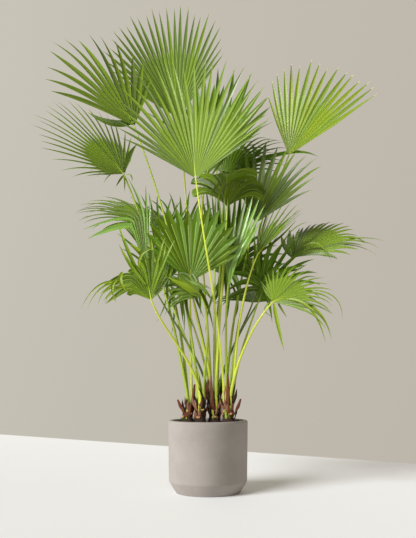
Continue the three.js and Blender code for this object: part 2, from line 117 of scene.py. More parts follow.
# The fans. The shares are of a leaflet's length, but FREE_START and SLIMMING_SHARE are of its free
# part. Chance sets how much a leaflet has of the variety, the sag, the swing and the roll in degrees.
PLEAT_SHARE = 0.13
RIB_STEPS = 48
RIB_START = 0.02
JOINED_POINTS = 7
FREE_POINTS = 13
LOOSE_POINTS = 14
BARE_LENGTH = 0.15
FREE_START = 0.08
SLIMMING_SHARE = 0.2
JOIN_VARIETY = 0.1
TIP_POWER = 2.2
SAG = 0.7
SWING = 0.7
ROLL = 50
LEAST_HALF_WIDTH = 0.25

# The camera, and the wall's foot as the photo shows it, from far left to near right. Places and sizes
# are in metres, the tilt is in degrees and the lens in millimetres.
CAMERA_PLACE = (0, -2.8, 0.425)
CAMERA_TILT = 98.4619
CAMERA_LENS = 48.57
WALL_LEFT = (-1.6, 2.79)
WALL_RIGHT = (1.05, 0.885)
WALL_OVERRUN = 1.2
WALL_HEIGHT = 5.5
FLOOR_REACH = 7

# Foot and crown of each stem, its cut stubs as turn, height and length, and its torn sheaths as
# turn, height, lean, length and tint
STEMS = {
    "a": dict(foot=(-78, 8), crown=(-71, 8, 325), stubs=[(215, 14, 24), (300, 34, 16)],
              sheaths=[(200, 52, 0.42, 50, 0.5), (330, 55, 0.1, 100, 0.5)]),
    "b": dict(foot=(-30, -26), crown=(-26, -26, 352), stubs=[(250, 18, 20), (290, 48, 18)],
              sheaths=[(20, 78, 0.12, 96, 0.5), (205, 66, 0.3, 44, 0.9)]),
    "c": dict(foot=(24, 12), crown=(21, 14, 338), stubs=[(275, 20, 18)],
              sheaths=[(250, 52, 0.08, 136, 0.9), (10, 60, 0.1, 150, 0.1)]),
    "d": dict(foot=(76, -14), crown=(78, -12, 342), stubs=[(285, 26, 26), (200, 40, 16)],
              sheaths=[(350, 48, 0.34, 56, 0.5), (265, 70, 0.04, 122, 0.6)]),
    "e": dict(foot=(26, 68), crown=(22, 72, 335), stubs=[(90, 24, 22), (150, 46, 16)],
              sheaths=[(60, 50, 0.4, 58, 0.2), (170, 60, 0.15, 96, 0.5)]),
}


def unit(vector):
    """The vector at a length of one."""
    return vector / np.linalg.norm(vector)


@dataclass
class Frond:
    """One fan and its stalk, with the sizes that the rule of growth takes.

    Pairs are for its left and its right side, and the spread and the fold are in degrees. Leaflets are
    joined over a share of their length, or over the webbed share in the finer pieces. They droop along
    the pull from their onset on, the more slowly the later. The slim factor narrows their free parts, the
    trim shortens these, the bare share of them is cut back, and beyond the tipped share the tip's look
    begins. The shortening is that of the outermost leaflets, and the bow that of the stalk.
    """

    name: str
    stem: str
    hub: tuple
    aim: tuple
    face: tuple
    reach: float
    spread: tuple
    leaflets: int
    joined: float
    droop: object
    look: str
    stalk: str
    shortening: tuple = (0.36, 0.36)
    fold: float = 0
    late: float = 2
    onset: float = 0
    pull: tuple = (0, 0, -1)
    bow: tuple = (0, 0, 0)
    slim: float = 0.8
    trim: tuple = (1, 1)
    webbed: float = 0
    tipped: float = 0.93
    bare: float = 0

    def __post_init__(self):
        for field in ("hub", "aim", "face", "pull", "bow"):
            setattr(self, field, np.array(getattr(self, field), float))
        self.aim = unit(self.aim)
        self.face = unit(self.face - self.aim * (self.face @ self.aim))
        self.across = np.cross(self.aim, self.face)
        self.fold = math.radians(self.fold)
        self.webbed = self.webbed or self.joined
        if not isinstance(self.droop, tuple):
            self.droop = (self.droop, self.droop)


FRONDS = [
    Frond("01", "d", (-45, -200, 1150), (-0.1, 0.03, 0.98), (0, -1, 0.03), 480, (57, 63), 26, 0.45, 0.25,
          "fresh", "lime", shortening=(0.4, 0.38), fold=14, bow=(0, -30, 0), slim=1.0),
    Frond("02", "a", (-125, 150, 1510), (-0.205, -0.12, 0.98), (0, -1, -0.12), 480, (50, 50), 26, 0.54,
          0.12, "mid", "lime", shortening=(0.34, 0.32), fold=14, bow=(0, 40, 0), slim=0.95),
    Frond("03", "b", (-285, -100, 1385), (-0.5, -0.1, 0.86), (0.5, -0.72, 0.42), 440, (50, 54), 13, 0.42,
          0.35, "fresh", "green", shortening=(0.25, 0.3), bow=(0, -20, 0), slim=1.05),
    Frond("04", "a", (-340, 40, 1235), (-0.64, 0, 0.77), (0.5, -0.6, 0.6), 430, (80, 64), 23, 0.42, 0.3,
          "fresh", "green", shortening=(0.55, 0.38), bow=(-20, 45, 0), slim=0.62),
    Frond("05", "d", (335, 110, 1335), (0.53, 0.05, 0.85), (-0.25, -0.95, 0.1), 460, (51, 30), 16, 0.52,
          0.03, "lime", "green", shortening=(0.4, 0.04), fold=12, bow=(0, 48, 0), slim=0.95),
    Frond("06", "d", (190, 50, 1035), (0.41, 0.1, 0.92), (-0.3, -0.9, 0.3), 375, (48, 44), 13, 0.55, 0.3,
          "fresh", "green", fold=12, late=3, bow=(0, 50, 0)),
    Frond("07", "c", (75, -45, 1080), (0.05, 0.3, 0.93), (0, -0.93, 0.3), 240, (48, 52), 10, 0.5, 1.3,
          "olive", "lime", bow=(0, -20, 0), slim=0.9, webbed=0.93),
    Frond("08", "c", (-65, -120, 775), (-0.02, 0.05, 0.99), (0, -0.99, 0.06), 300, (50, 62), 15, 0.55, 0.25,
          "shade", "lime", fold=8, bow=(0, 30, 0), slim=1.0, webbed=0.72),
    Frond("09", "b", (-205, -190, 700), (-0.2, 0, 0.98), (0.02, -0.99, 0.05), 300, (58, 60), 16, 0.43,
          (4, -2.5), "olive", "lime", shortening=(0.45, 0.7), late=0.5, onset=0.36, pull=(-0.75, 0, -1),
          slim=1.0, trim=(0.8, 0.5), webbed=0.45, bare=0.5, tipped=0.7),
    Frond("10", "c", (-235, -50, 830), (-0.2, 0, 0.98), (0.35, -0.93, 0), 420, (10, 16), 8, 0.5,
          (4.6, -1.5), "blue", "dark", shortening=(0.25, 0.4), late=0.6, onset=0.48, pull=(-1, 0, -0.75),
          bow=(0, -20, 0), slim=0.95),
    Frond("11", "b", (-170, 70, 790), (-0.15, 0.05, 0.95), (0, -0.99, 0.1), 350, (38, 50), 14, 0.42, 0.5,
          "deep", "green", slim=0.85),
    Frond("12", "e", (-105, 155, 950), (-0.1, 0.2, 0.95), (0, -0.95, 0.2), 275, (52, 52), 14, 0.42, 0.6,
          "deep", "dark", fold=6, slim=0.85),
    Frond("13", "d", (80, -85, 795), (0.28, 0, 0.96), (-0.15, -0.98, 0.05), 335, (13, 17), 6, 0.55, 0.1,
          "blue", "green", fold=20, slim=1.0),
    Frond("14", "d", (190, -60, 890), (0.66, 0, 0.75), (-0.5, -0.75, 0.45), 260, (30, 18), 9, 0.5, 0.2,
          "mid", "lime", fold=30, slim=0.55),
    Frond("15", "c", (345, 80, 900), (0.85, 0.1, 0.5), (-0.35, -0.66, 0.66), 385, (74, 36), 20, 0.45,
          (0.15, 0.9), "fresh", "dark", shortening=(0.7, 0.5), bow=(0, 40, 0), slim=0.85, trim=(0.55, 0.7),
          webbed=0.6),
    Frond("16", "d", (240, -110, 700), (0.88, 0.04, 0.4), (-0.25, -0.82, 0.5), 300, (95, 45), 20, 0.42,
          (0.1, 1.4), "fresh", "lime", shortening=(0.6, 0.1), bow=(0, -20, 0), slim=0.6, trim=(0.55, 0.72)),
    Frond("17", "d", (200, 35, 725), (0.42, 0, 0.9), (0.1, -0.95, 0.05), 290, (50, 62), 14, 0.42, (0.1, 1),
          "deep", "green", bow=(0, -15, 0), slim=0.95),
    Frond("18", "c", (-10, 40, 1225), (0.37, 0.04, 0.92), (-0.2, -0.95, 0.2), 495, (36, 30), 12, 0.5, 0.2,
          "deep", "lime", shortening=(0.1, 0.3), fold=12, bow=(0, 40, 0), slim=1.1, trim=(0.7, 0.75),
          webbed=0.55),
    Frond("19", "b", (-30, -165, 725), (-0.85, 0, 0.5), (0.1, -0.95, 0.2), 145, (50, 50), 9, 0.5, 1.2,
          "mid", "green", bow=(0, -30, 0), slim=0.9),
    Frond("20", "a", (-235, 230, 1060), (-0.5, 0.6, 0.65), (0.3, -0.4, 0.85), 380, (85, 80), 24, 0.45, 0.8,
          "mid", "green", slim=0.7),
    Frond("21", "e", (-120, 240, 800), (-0.25, 0.82, 0.5), (0.2, -0.5, 0.85), 260, (80, 80), 22, 0.45, 0.8,
          "deep", "green", slim=0.7),
    Frond("22", "e", (80, 200, 1255), (0.38, 0.2, 0.85), (-0.2, -0.9, 0.4), 320, (60, 60), 20, 0.45, 0.9,
          "deep", "green", fold=10, bow=(14, 6, 0)),
    Frond("23", "e", (70, 240, 850), (0.2, 0.42, 0.88), (0, -0.9, 0.42), 340, (75, 70), 18, 0.45, 0.7,
          "deep", "lime", slim=0.95),
    Frond("24", "e", (185, 200, 730), (0.3, 0.8, 0.5), (-0.1, -0.45, 0.9), 310, (75, 75), 17, 0.45, 0.8,
          "deep", "dark", bow=(10, -15, 0), slim=0.95),
    Frond("25", "c", (40, 290, 1340), (0.1, 0.65, 0.75), (0.1, -0.75, 0.65), 360, (70, 85), 24, 0.45, 0.5,
          "deep", "green", fold=8, bow=(0, 60, 0), slim=0.75),
]


# Leaflets that leave the surface of their fan: for each start the bend, the tip, the half width and
# a look: 0 as the fan's upper side, 1 as its tips, 2 as the upper side of some. All in millimetres.
LOOSE = {
    "01": [
        ((15, -190, 1165), [
            ((110, -200, 1280), (245, -180, 1375), 6, 0), ((105, -200, 1305), (210, -180, 1445), 6, 0),
        ]),
    ],
    "03": [
        ((-290, -100, 1405), [((-370, -120, 1390), (-465, -125, 1435), 14, 2)]),
    ],
    "04": [
        ((-340, 40, 1240), [((-325, 20, 1305), (-280, 15, 1355), 13, 0)]),
        ((-340, 40, 1230), [
            ((-355, 30, 1205), (-370, 25, 1175), 4, 0), ((-335, 30, 1195), (-335, 25, 1160), 4, 1),
        ]),
        ((-330, 45, 1235), [((-310, 35, 1225), (-305, 30, 1200), 4, 0)]),
        ((-360, 40, 1255), [((-465, 30, 1275), (-510, 25, 1240), 3.5, 0)]),
        ((-355, 40, 1250), [((-440, 30, 1260), (-480, 25, 1230), 3.5, 0)]),
        ((-350, 40, 1245), [((-410, 30, 1250), (-450, 25, 1210), 4, 0)]),
        ((-345, 40, 1240), [((-390, 30, 1230), (-420, 25, 1185), 4, 0)]),
    ],
    "07": [
        ((90, -20, 1210), [((140, -40, 1230), (195, -30, 1215), 4, 1)]),
        ((65, -60, 1170), [((45, -75, 1125), (35, -80, 1075), 5, 1)]),
        ((75, -60, 1160), [((65, -75, 1120), (60, -80, 1065), 5, 1)]),
        ((50, -60, 1175), [((25, -75, 1140), (5, -80, 1105), 5, 0)]),
        ((190, -20, 1205), [((140, -25, 1210), (65, -30, 1175), 26, 0)]),
    ],
    "08": [
        ((-65, -120, 780), [
            ((-20, -140, 750), (20, -145, 695), 8, 2), ((-90, -140, 715), (-90, -145, 645), 7, 0),
            ((-120, -140, 735), (-140, -140, 690), 8, 2), ((-45, -130, 715), (-15, -135, 640), 6, 2),
        ]),
        ((-65, -118, 775), [((-80, -130, 690), (-45, -130, 590), 6, 0)]),
        ((-60, -118, 775), [((-10, -130, 705), (20, -130, 595), 6, 0)]),
        ((-75, -118, 775), [((-140, -130, 705), (-115, -130, 590), 5, 1)]),
    ],
    "09": [
        ((-305, -235, 795), [((-310, -250, 760), (-285, -255, 720), 7, 1)]),
        ((-320, -230, 770), [((-340, -240, 740), (-325, -245, 685), 5, 1)]),
        ((-225, -195, 755), [((-280, -200, 825), (-325, -205, 905), 7, 0)]),
        ((-200, -200, 730), [((-160, -215, 835), (-120, -220, 915), 6.5, 0)]),
        ((-205, -200, 730), [((-180, -212, 850), (-155, -215, 925), 6, 0)]),
        ((-220, -190, 735), [((-290, -175, 875), (-335, -165, 995), 7, 0)]),
        ((-250, -215, 815), [((-235, -225, 865), (-190, -230, 880), 5, 1)]),
        ((-315, -225, 760), [((-390, -240, 745), (-450, -245, 660), 3.5, 1)]),
        ((-305, -225, 755), [((-375, -240, 740), (-425, -245, 665), 3.5, 1)]),
        ((-295, -220, 745), [((-360, -235, 730), (-390, -240, 675), 3, 1)]),
        ((-285, -215, 740), [((-340, -230, 730), (-365, -235, 680), 3, 1)]),
        ((-275, -210, 730), [((-315, -225, 725), (-330, -230, 690), 3, 0)]),
    ],
    "12": [
        ((-105, 155, 945), [
            ((-150, 60, 845), (-155, 40, 725), 9, 0), ((-45, 60, 805), (-30, 40, 665), 9, 0),
            ((-110, 60, 785), (-95, 40, 625), 9, 0),
        ]),
        ((-170, 70, 790), [
            ((-135, 60, 705), (-145, 45, 580), 4.5, 0), ((-105, 60, 725), (-95, 45, 585), 4.5, 0),
            ((-165, 60, 725), (-200, 45, 640), 4.5, 0),
        ]),
        ((-235, 90, 1035), [((-275, 80, 1105), (-315, 80, 1150), 4, 0)]),
        ((-225, 90, 1040), [((-250, 80, 1110), (-275, 80, 1160), 4, 0)]),
        ((-210, 90, 1040), [((-230, 80, 1110), (-240, 80, 1170), 4, 2)]),
        ((-195, 90, 1040), [((-205, 80, 1110), (-205, 80, 1165), 4, 0)]),
        ((-170, 90, 1040), [((-160, 80, 1105), (-145, 80, 1155), 4, 0)]),
        ((-155, 90, 1030), [((-135, 80, 1090), (-110, 80, 1135), 4, 2)]),
        ((-130, 90, 1025), [((-100, 80, 1080), (-75, 80, 1125), 4, 0)]),
    ],
    "13": [
        ((80, -95, 770), [
            ((105, -120, 865), (160, -130, 960), 9, 0), ((85, -120, 895), (105, -130, 1015), 9, 2),
        ]),
    ],
    "14": [
        ((190, -58, 890), [
            ((265, -40, 985), (365, 10, 1080), 6, 0), ((240, -40, 985), (305, 10, 1070), 6, 0),
            ((275, -40, 955), (350, 10, 1040), 6, 2), ((205, -40, 1005), (240, 10, 1085), 5, 0),
        ]),
    ],
    "15": [
        ((380, 70, 940), [((440, 40, 945), (490, 30, 870), 5, 1)]),
        ((305, 80, 970), [((355, 60, 1020), (405, 60, 1040), 3.5, 0)]),
        ((275, 85, 860), [((335, 80, 845), (400, 80, 875), 5, 0)]),
        ((490, 80, 950), [((610, 90, 980), (715, 95, 970), 5, 0)]),
        ((470, 80, 945), [((595, 90, 970), (695, 95, 940), 5, 0)]),
        ((450, 80, 940), [((585, 90, 950), (685, 95, 910), 4, 1)]),
        ((340, 80, 900), [
            ((305, 75, 945), (295, 70, 995), 13, 2), ((330, 75, 960), (330, 70, 1015), 13, 2),
            ((355, 75, 965), (370, 70, 1020), 12, 2),
        ]),
    ],
    "16": [
        ((245, -112, 695), [((255, -150, 615), (275, -160, 520), 7.5, 1)]),
        ((285, -110, 710), [((375, -150, 670), (425, -165, 545), 6, 1)]),
        ((305, -110, 710), [((400, -140, 665), (450, -150, 560), 6, 1)]),
        ((360, -110, 745), [((465, -120, 720), (495, -125, 635), 3, 1)]),
        ((230, -100, 700), [((215, -90, 670), (250, -85, 645), 4, 0)]),
        ((260, -100, 700), [((275, -95, 675), (295, -90, 645), 4, 0)]),
    ],
    "17": [
        ((215, 40, 770), [
            ((145, 20, 795), (70, 10, 750), 12, 0), ((125, 20, 755), (55, 15, 700), 10, 2),
        ]),
        ((215, 40, 780), [((140, 20, 825), (55, 10, 815), 12, 0)]),
        ((210, 45, 765), [((235, 30, 725), (250, 25, 635), 8, 2)]),
        ((215, 40, 785), [((305, 30, 840), (385, 30, 860), 10, 0)]),
        ((215, 40, 780), [
            ((250, 25, 835), (305, 20, 870), 10, 0), ((230, 25, 890), (275, 20, 975), 10, 0),
            ((255, 25, 890), (315, 20, 960), 10, 0), ((195, 25, 880), (230, 20, 995), 10, 0),
        ]),
    ],
    "19": [
        ((-30, -170, 715), [((-80, -190, 745), (-150, -195, 785), 12, 1)]),
        ((-30, -172, 715), [((-65, -190, 720), (-100, -200, 705), 6, 0)]),
        ((-65, -200, 765), [((-30, -215, 745), (0, -220, 715), 9, 0)]),
        ((-35, -165, 710), [((-110, -180, 695), (-160, -185, 640), 4, 0)]),
        ((-40, -160, 710), [((-100, -170, 715), (-135, -175, 675), 4, 0)]),
    ],
    "22": [
        ((120, 180, 1285), [((320, 120, 1345), (455, 110, 1330), 10, 0)]),
        ((135, 180, 1315), [((200, 140, 1340), (260, 130, 1415), 10, 0)]),
        ((100, 170, 1270), [((145, 120, 1280), (200, 110, 1260), 12, 0)]),
        ((110, 110, 1235), [((35, 100, 1235), (-45, 100, 1220), 13, 0)]),
        ((100, 120, 1265), [((60, 100, 1245), (-35, 100, 1245), 13, 0)]),
    ],
    "23": [
        ((60, 200, 900), [((50, 150, 800), (25, 140, 725), 12, 0)]),
        ((65, 200, 900), [((80, 150, 775), (75, 140, 645), 12, 0)]),
        ((75, 200, 900), [((120, 150, 800), (130, 140, 735), 12, 0)]),
        ((70, 240, 850), [
            ((0, 240, 1010), (-50, 250, 1225), 13, 0), ((25, 240, 1020), (-10, 250, 1240), 14, 0),
            ((55, 240, 1020), (40, 250, 1260), 14, 0), ((85, 240, 1020), (90, 250, 1260), 14, 0),
        ]),
        ((75, 240, 850), [((120, 240, 1020), (145, 250, 1260), 14, 0)]),
        ((80, 240, 850), [((155, 240, 1010), (205, 250, 1240), 14, 0)]),
        ((70, 240, 850), [
            ((15, 220, 1000), (-30, 230, 1210), 12, 0), ((40, 220, 1005), (15, 230, 1220), 12, 0),
            ((70, 220, 1005), (65, 230, 1235), 12, 0), ((100, 220, 1005), (120, 230, 1235), 12, 0),
        ]),
        ((75, 240, 850), [((135, 220, 1000), (175, 230, 1220), 12, 0)]),
        ((80, 240, 850), [((165, 220, 975), (230, 230, 1175), 12, 0)]),
        ((70, 235, 850), [
            ((15, 160, 740), (-10, 130, 600), 5, 0), ((85, 160, 735), (55, 130, 590), 5, 0),
            ((45, 160, 735), (35, 130, 620), 4.5, 0), ((120, 160, 740), (100, 130, 645), 4.5, 0),
        ]),
    ],
    "25": [
        ((40, 285, 1425), [
            ((-80, 270, 1555), (-175, 270, 1715), 12, 0), ((-115, 270, 1535), (-240, 270, 1655), 12, 0),
            ((-140, 270, 1500), (-275, 270, 1585), 11, 0), ((-35, 270, 1570), (-85, 270, 1750), 12, 0),
            ((0, 270, 1590), (-20, 270, 1770), 13, 0), ((40, 270, 1615), (45, 270, 1790), 13, 0),
            ((90, 270, 1615), (115, 270, 1780), 13, 0), ((135, 270, 1615), (190, 270, 1760), 13, 0),
        ]),
    ],
}


def share(group, index):
    """A steady pseudo-random share between 0 and 1."""
    wave = math.sin(group * 78.233 + index * 12.9898) * 43758.5453
    return wave - math.floor(wave)


def added(name, data):
    """A new object in the scene with its data."""
    piece = bpy.data.objects.new(name, data)
    bpy.context.scene.collection.objects.link(piece)
    return piece


# Node networks


class Network:
    """A node tree that is filled step by step."""

    def __init__(self, tree):
        self.tree = tree

    def add(self, kind, inputs=None, **settings):
        """A node with its settings, its inputs linked to sockets or set to values."""
        node = self.tree.nodes.new(kind)
        for key, value in settings.items():
            setattr(node, key, value)
        for key, value in (inputs or {}).items():
            self.feed(node.inputs[key], value)
        return node

    def made(self, kind, inputs=None, **settings):
        """The first output of a new node."""
        return self.add(kind, inputs, **settings).outputs[0]

    def feed(self, socket, value):
        """Links a socket to another one, or sets its own value."""
        if isinstance(value, bpy.types.NodeSocket):
            self.tree.links.new(value, socket)
        else:
            socket.default_value = value

    def math(self, operation, first, second=0.0):
        """The result of a sum on two values."""
        return self.made("ShaderNodeMath", {0: first, 1: second}, operation=operation)

    def times(self, first, second):
        """The product of two values."""
        return self.math("MULTIPLY", first, second)

    def above(self, value, limit):
        """True where a value is above a limit."""
        inputs = {0: value, 1: limit}
        return self.made("FunctionNodeCompare", inputs, data_type="FLOAT", operation="GREATER_THAN")

    def attribute(self, name, data_type="FLOAT"):
        """A named attribute's value."""
        node = self.add("GeometryNodeInputNamedAttribute", {"Name": name}, data_type=data_type)
        return node.outputs["Attribute"]

    def random(self, low, high, seed):
        """For each point a random value, or a random vector between two tuples."""
        kind, first, result = ("FLOAT_VECTOR", 0, 0) if isinstance(low, tuple) else ("FLOAT", 2, 1)
        inputs = {first: low, first + 1: high, "Seed": seed}
        return self.add("FunctionNodeRandomValue", inputs, data_type=kind).outputs[result]

    def parts(self, vector):
        """The three parts of a vector."""
        return self.add("ShaderNodeSeparateXYZ", {0: vector}).outputs

    def place(self):
        """The three parts of each point's place."""
        return self.parts(self.made("GeometryNodeInputPosition"))

    def vector(self, x, y=0.0):
        """A level vector from its parts."""
        return self.made("ShaderNodeCombineXYZ", {"X": x, "Y": y})


def empty_tree(name, kind, inputs, outputs):
    """A tree with named sockets, its network, its input sockets and its result sockets.

    Each input has its default: a number for a value, None for a material.
    """
    tree = bpy.data.node_groups.new(name, kind)
    kinds = {float: "NodeSocketFloat", int: "NodeSocketInt", type(None): "NodeSocketMaterial"}
    if kind == "GeometryNodeTree":
        for way in ("INPUT", "OUTPUT"):
            tree.interface.new_socket(name="Geometry", in_out=way, socket_type="NodeSocketGeometry")
    for label, value in inputs.items():
        socket = tree.interface.new_socket(name=label, in_out="INPUT", socket_type=kinds[type(value)])
        if value is not None:
            socket.default_value = value
    for label in outputs:
        tree.interface.new_socket(name=label, in_out="OUTPUT", socket_type="NodeSocketFloat")
    network = Network(tree)
    return network, network.add("NodeGroupInput").outputs, network.add("NodeGroupOutput").inputs


def stored(network, geometry, name, value, data_type="FLOAT", domain="POINT"):
    """The geometry with a named value stored in it."""
    inputs = {"Geometry": geometry, "Name": name, "Value": value}
    return network.made("GeometryNodeStoreNamedAttribute", inputs, data_type=data_type, domain=domain)


def realized(network, geometry):
    """The geometry with its instances made real."""
    return network.made("GeometryNodeRealizeInstances", {"Geometry": geometry})


def painted(network, mesh, material, selection=True):
    """The mesh with a material on all of it or on the selected faces."""
    inputs = {"Geometry": mesh, "Material": material, "Selection": selection}
    return network.made("GeometryNodeSetMaterial", inputs)


def swept(network, given, across, height, limit):
    """The input's chains swept with a closed profile, with sharp edges beyond a limit in degrees.

    The profile's width lies across a chain, its height follows the chain's facing, and its size follows
    each point's half width. The map runs across the piece and, in metres, along it.
    """
    circle = network.made("GeometryNodeCurvePrimitiveCircle", {"Resolution": given["Sides"], "Radius": 1.0})
    circle = stored(network, circle, "upper", network.place()[1])
    circle = stored(network, circle, "across", across)
    where = network.vector(height, network.times(network.attribute("across"), -1.0))
    circle = network.made("GeometryNodeSetPosition", {"Geometry": circle, "Position": where})
    curve = network.made("GeometryNodeMeshToCurve", {"Mesh": given["Geometry"]})
    inputs = {"Curve": curve, "Normal": network.attribute("facing", "FLOAT_VECTOR")}
    curve = network.made("GeometryNodeSetCurveNormal", inputs, mode="FREE")
    inputs = {"Curve": curve, "Profile Curve": circle, "Fill Caps": True}
    inputs["Scale"] = network.attribute("half_width")
    mesh = network.made("GeometryNodeCurveToMesh", inputs)
    place = network.vector(network.attribute("across"), network.attribute("distance"))
    mesh = stored(network, mesh, "UVMap", place, "FLOAT2", "CORNER")
    inputs = {"Geometry": mesh, "Shade Smooth": True}
    mesh = network.made("GeometryNodeSetShadeSmooth", inputs, domain="FACE")
    sharp = network.above(network.made("GeometryNodeInputMeshEdgeAngle"), math.radians(limit))
    inputs = {"Geometry": mesh, "Selection": sharp, "Shade Smooth": False}
    return realized(network, network.made("GeometryNodeSetShadeSmooth", inputs, domain="EDGE"))


def leaflet_tree(name):
    """Ribs swept into closed V-shaped leaflets with a pale rib near the hub, partly the rib's own colour and
    partly a painted highlight, an underside and coloured tips.
    """
    inputs = {"Sides": 10, "Fold": 0.52, "Thickness": 0.05, "Tip share": 0.93}
    inputs |= {"Rib share": 0.42, "Rib width": 0.2, "Tint of some": 0.7}
    looks = ("Upper side", "Upper side of some", "Underside", "Rib", "Tip")
    network, given, result = empty_tree(name, "GeometryNodeTree", inputs | dict.fromkeys(looks), [])
    place = network.place()
    across = network.times(place[0], network.math("ABSOLUTE", place[0]))
    rise = network.times(given["Fold"], network.math("ABSOLUTE", across))
    height = network.math("ADD", rise, network.times(given["Thickness"], place[1]))
    mesh = swept(network, given, across, height, 18)
    mesh = painted(network, mesh, given["Upper side"])
    tinted = network.above(network.attribute("tint"), given["Tint of some"])
    mesh = painted(network, mesh, given["Upper side of some"], tinted)
    along = network.attribute("along")
    mesh = painted(network, mesh, given["Tip"], network.above(along, given["Tip share"]))
    mesh = painted(network, mesh, given["Underside"], network.above(0.0, network.attribute("upper")))
    # The rib band near the hub: a real pale rib, and partly a painted highlight along it
    narrow = network.above(given["Rib width"], network.math("ABSOLUTE", network.attribute("across")))
    inputs = {0: narrow, 1: network.above(given["Rib share"], along)}
    on_rib = network.made("FunctionNodeBooleanMath", inputs, operation="AND")
    network.feed(result[0], painted(network, mesh, given["Rib"], on_rib))
    return network.tree


def rod_tree(name):
    """Lines swept into rods with a flattened upper side; the cut end may have a material of its own."""
    inputs = {"Sides": 12, "Flatness": 0.55, "Outside": None, "Far end": None}
    network, given, result = empty_tree(name, "GeometryNodeTree", inputs, [])
    place = network.place()
    mesh = swept(network, given, place[0], network.math("MINIMUM", place[1], given["Flatness"]), 50)
    mesh = painted(network, mesh, given["Outside"])
    at_end = network.above(network.attribute("along"), 0.999)
    network.feed(result[0], painted(network, mesh, given["Far end"], at_end))
    return network.tree


def sheath_tree(name):
    """Lines swept into curled strips of old leaf sheath, in three shades."""
    inputs = {"Sides": 12, "Curl": 0.45, "Thickness": 0.1, "Tint of some": 0.4, "Tint of few": 0.75}
    looks = ("Outside", "Outside of some", "Outside of few")
    network, given, result = empty_tree(name, "GeometryNodeTree", inputs | dict.fromkeys(looks), [])
    place = network.place()
    bent = network.times(network.times(place[0], place[0]), given["Curl"])
    height = network.math("SUBTRACT", network.times(given["Thickness"], place[1]), bent)
    mesh = swept(network, given, place[0], height, 40)
    mesh = painted(network, mesh, given["Outside"])
    tint = network.attribute("tint")
    for label in ("some", "few"):
        tinted = network.above(tint, given[f"Tint of {label}"])
        mesh = painted(network, mesh, given[f"Outside of {label}"], tinted)
    network.feed(result[0], mesh)
    return network.tree


def scattered(network, given):
    """Random points on the input mesh, with their normals."""
    inputs = {"Mesh": given["Geometry"], "Density": given["Density"], "Seed": given["Seed"]}
    return network.add("GeometryNodeDistributePointsOnFaces", inputs).outputs


def fibre_tree(name):
    """Thin fibres scattered over a stem, standing up and a little away from it."""
    inputs = {"Density": 9000.0, "Length": 0.016, "Radius": 0.00035, "Bend": 0.22, "Thinning": 0.75}
    inputs |= {"Seed": 3, "Fibre": None}
    network, given, result = empty_tree(name, "GeometryNodeTree", inputs, [])
    points = scattered(network, given)
    line = network.made("GeometryNodeCurvePrimitiveLine", {"Start": (0, 0, 0), "End": (0, 0, 1)})
    line = network.made("GeometryNodeResampleCurve", {"Curve": line, "Count": 4})
    height = network.place()[2]
    offset = network.vector(network.times(network.times(height, height), given["Bend"]))
    line = network.made("GeometryNodeSetPosition", {"Geometry": line, "Offset": offset})
    thin = network.math("SUBTRACT", 1.0, network.times(height, given["Thinning"]))
    thin = network.times(thin, network.math("DIVIDE", given["Radius"], given["Length"]))
    ring = network.made("GeometryNodeCurvePrimitiveCircle", {"Resolution": 3, "Radius": 1.0})
    inputs = {"Curve": line, "Profile Curve": ring, "Scale": thin, "Fill Caps": True}
    strand = network.made("GeometryNodeCurveToMesh", inputs)
    lean = network.random((-0.35, -0.35, 0.55), (0.35, 0.35, 1.0), 5)
    out = network.made("ShaderNodeVectorMath", {0: points["Normal"], "Scale": 0.25}, operation="SCALE")
    heading = network.made("ShaderNodeVectorMath", {0: lean, 1: out}, operation="ADD")
    turn = network.made("FunctionNodeAlignRotationToVector", {"Vector": heading}, axis="Z")
    length = network.times(given["Length"], network.random(0.5, 1.3, 8))
    inputs = {"Points": points["Points"], "Instance": strand, "Rotation": turn, "Scale": length}
    mesh = realized(network, network.made("GeometryNodeInstanceOnPoints", inputs))
    network.feed(result[0], painted(network, mesh, given["Fibre"]))
    return network.tree


def chip_tree(name):
    """Bark chips of two shades scattered over the potting mix."""
    inputs = {"Density": 16000.0, "Size": 0.004, "Tint of pale": 0.78, "Seed": 11}
    inputs |= {"Chip": None, "Pale chip": None}
    network, given, result = empty_tree(name, "GeometryNodeTree", inputs, [])
    points = scattered(network, given)
    lump = network.made("GeometryNodeMeshIcoSphere", {"Radius": 1.0, "Subdivisions": 1})
    noise = network.add("ShaderNodeTexNoise", {"Scale": 1.7, "Detail": 1.0}).outputs["Color"]
    centred = network.made("ShaderNodeVectorMath", {0: noise, 1: (0.5, 0.5, 0.5)}, operation="SUBTRACT")
    lump = network.made("GeometryNodeSetPosition", {"Geometry": lump, "Offset": centred})
    spin = network.random((-0.6, -0.6, 0.0), (0.6, 0.6, 6.28), 2)
    turn = network.made("FunctionNodeEulerToRotation", {"Euler": spin})
    shape = network.random((0.6, 0.35, 0.2), (1.6, 0.8, 0.5), 4)
    size = network.made("ShaderNodeVectorMath", {0: shape, "Scale": given["Size"]}, operation="SCALE")
    inputs = {"Points": points["Points"], "Instance": lump, "Rotation": turn, "Scale": size}
    placed = network.made("GeometryNodeInstanceOnPoints", inputs)
    placed = stored(network, placed, "tint", network.random(0.0, 1.0, 6), domain="INSTANCE")
    mesh = painted(network, realized(network, placed), given["Chip"])
    pale = network.above(network.attribute("tint"), given["Tint of pale"])
    network.feed(result[0], painted(network, mesh, given["Pale chip"], pale))
    return network.tree


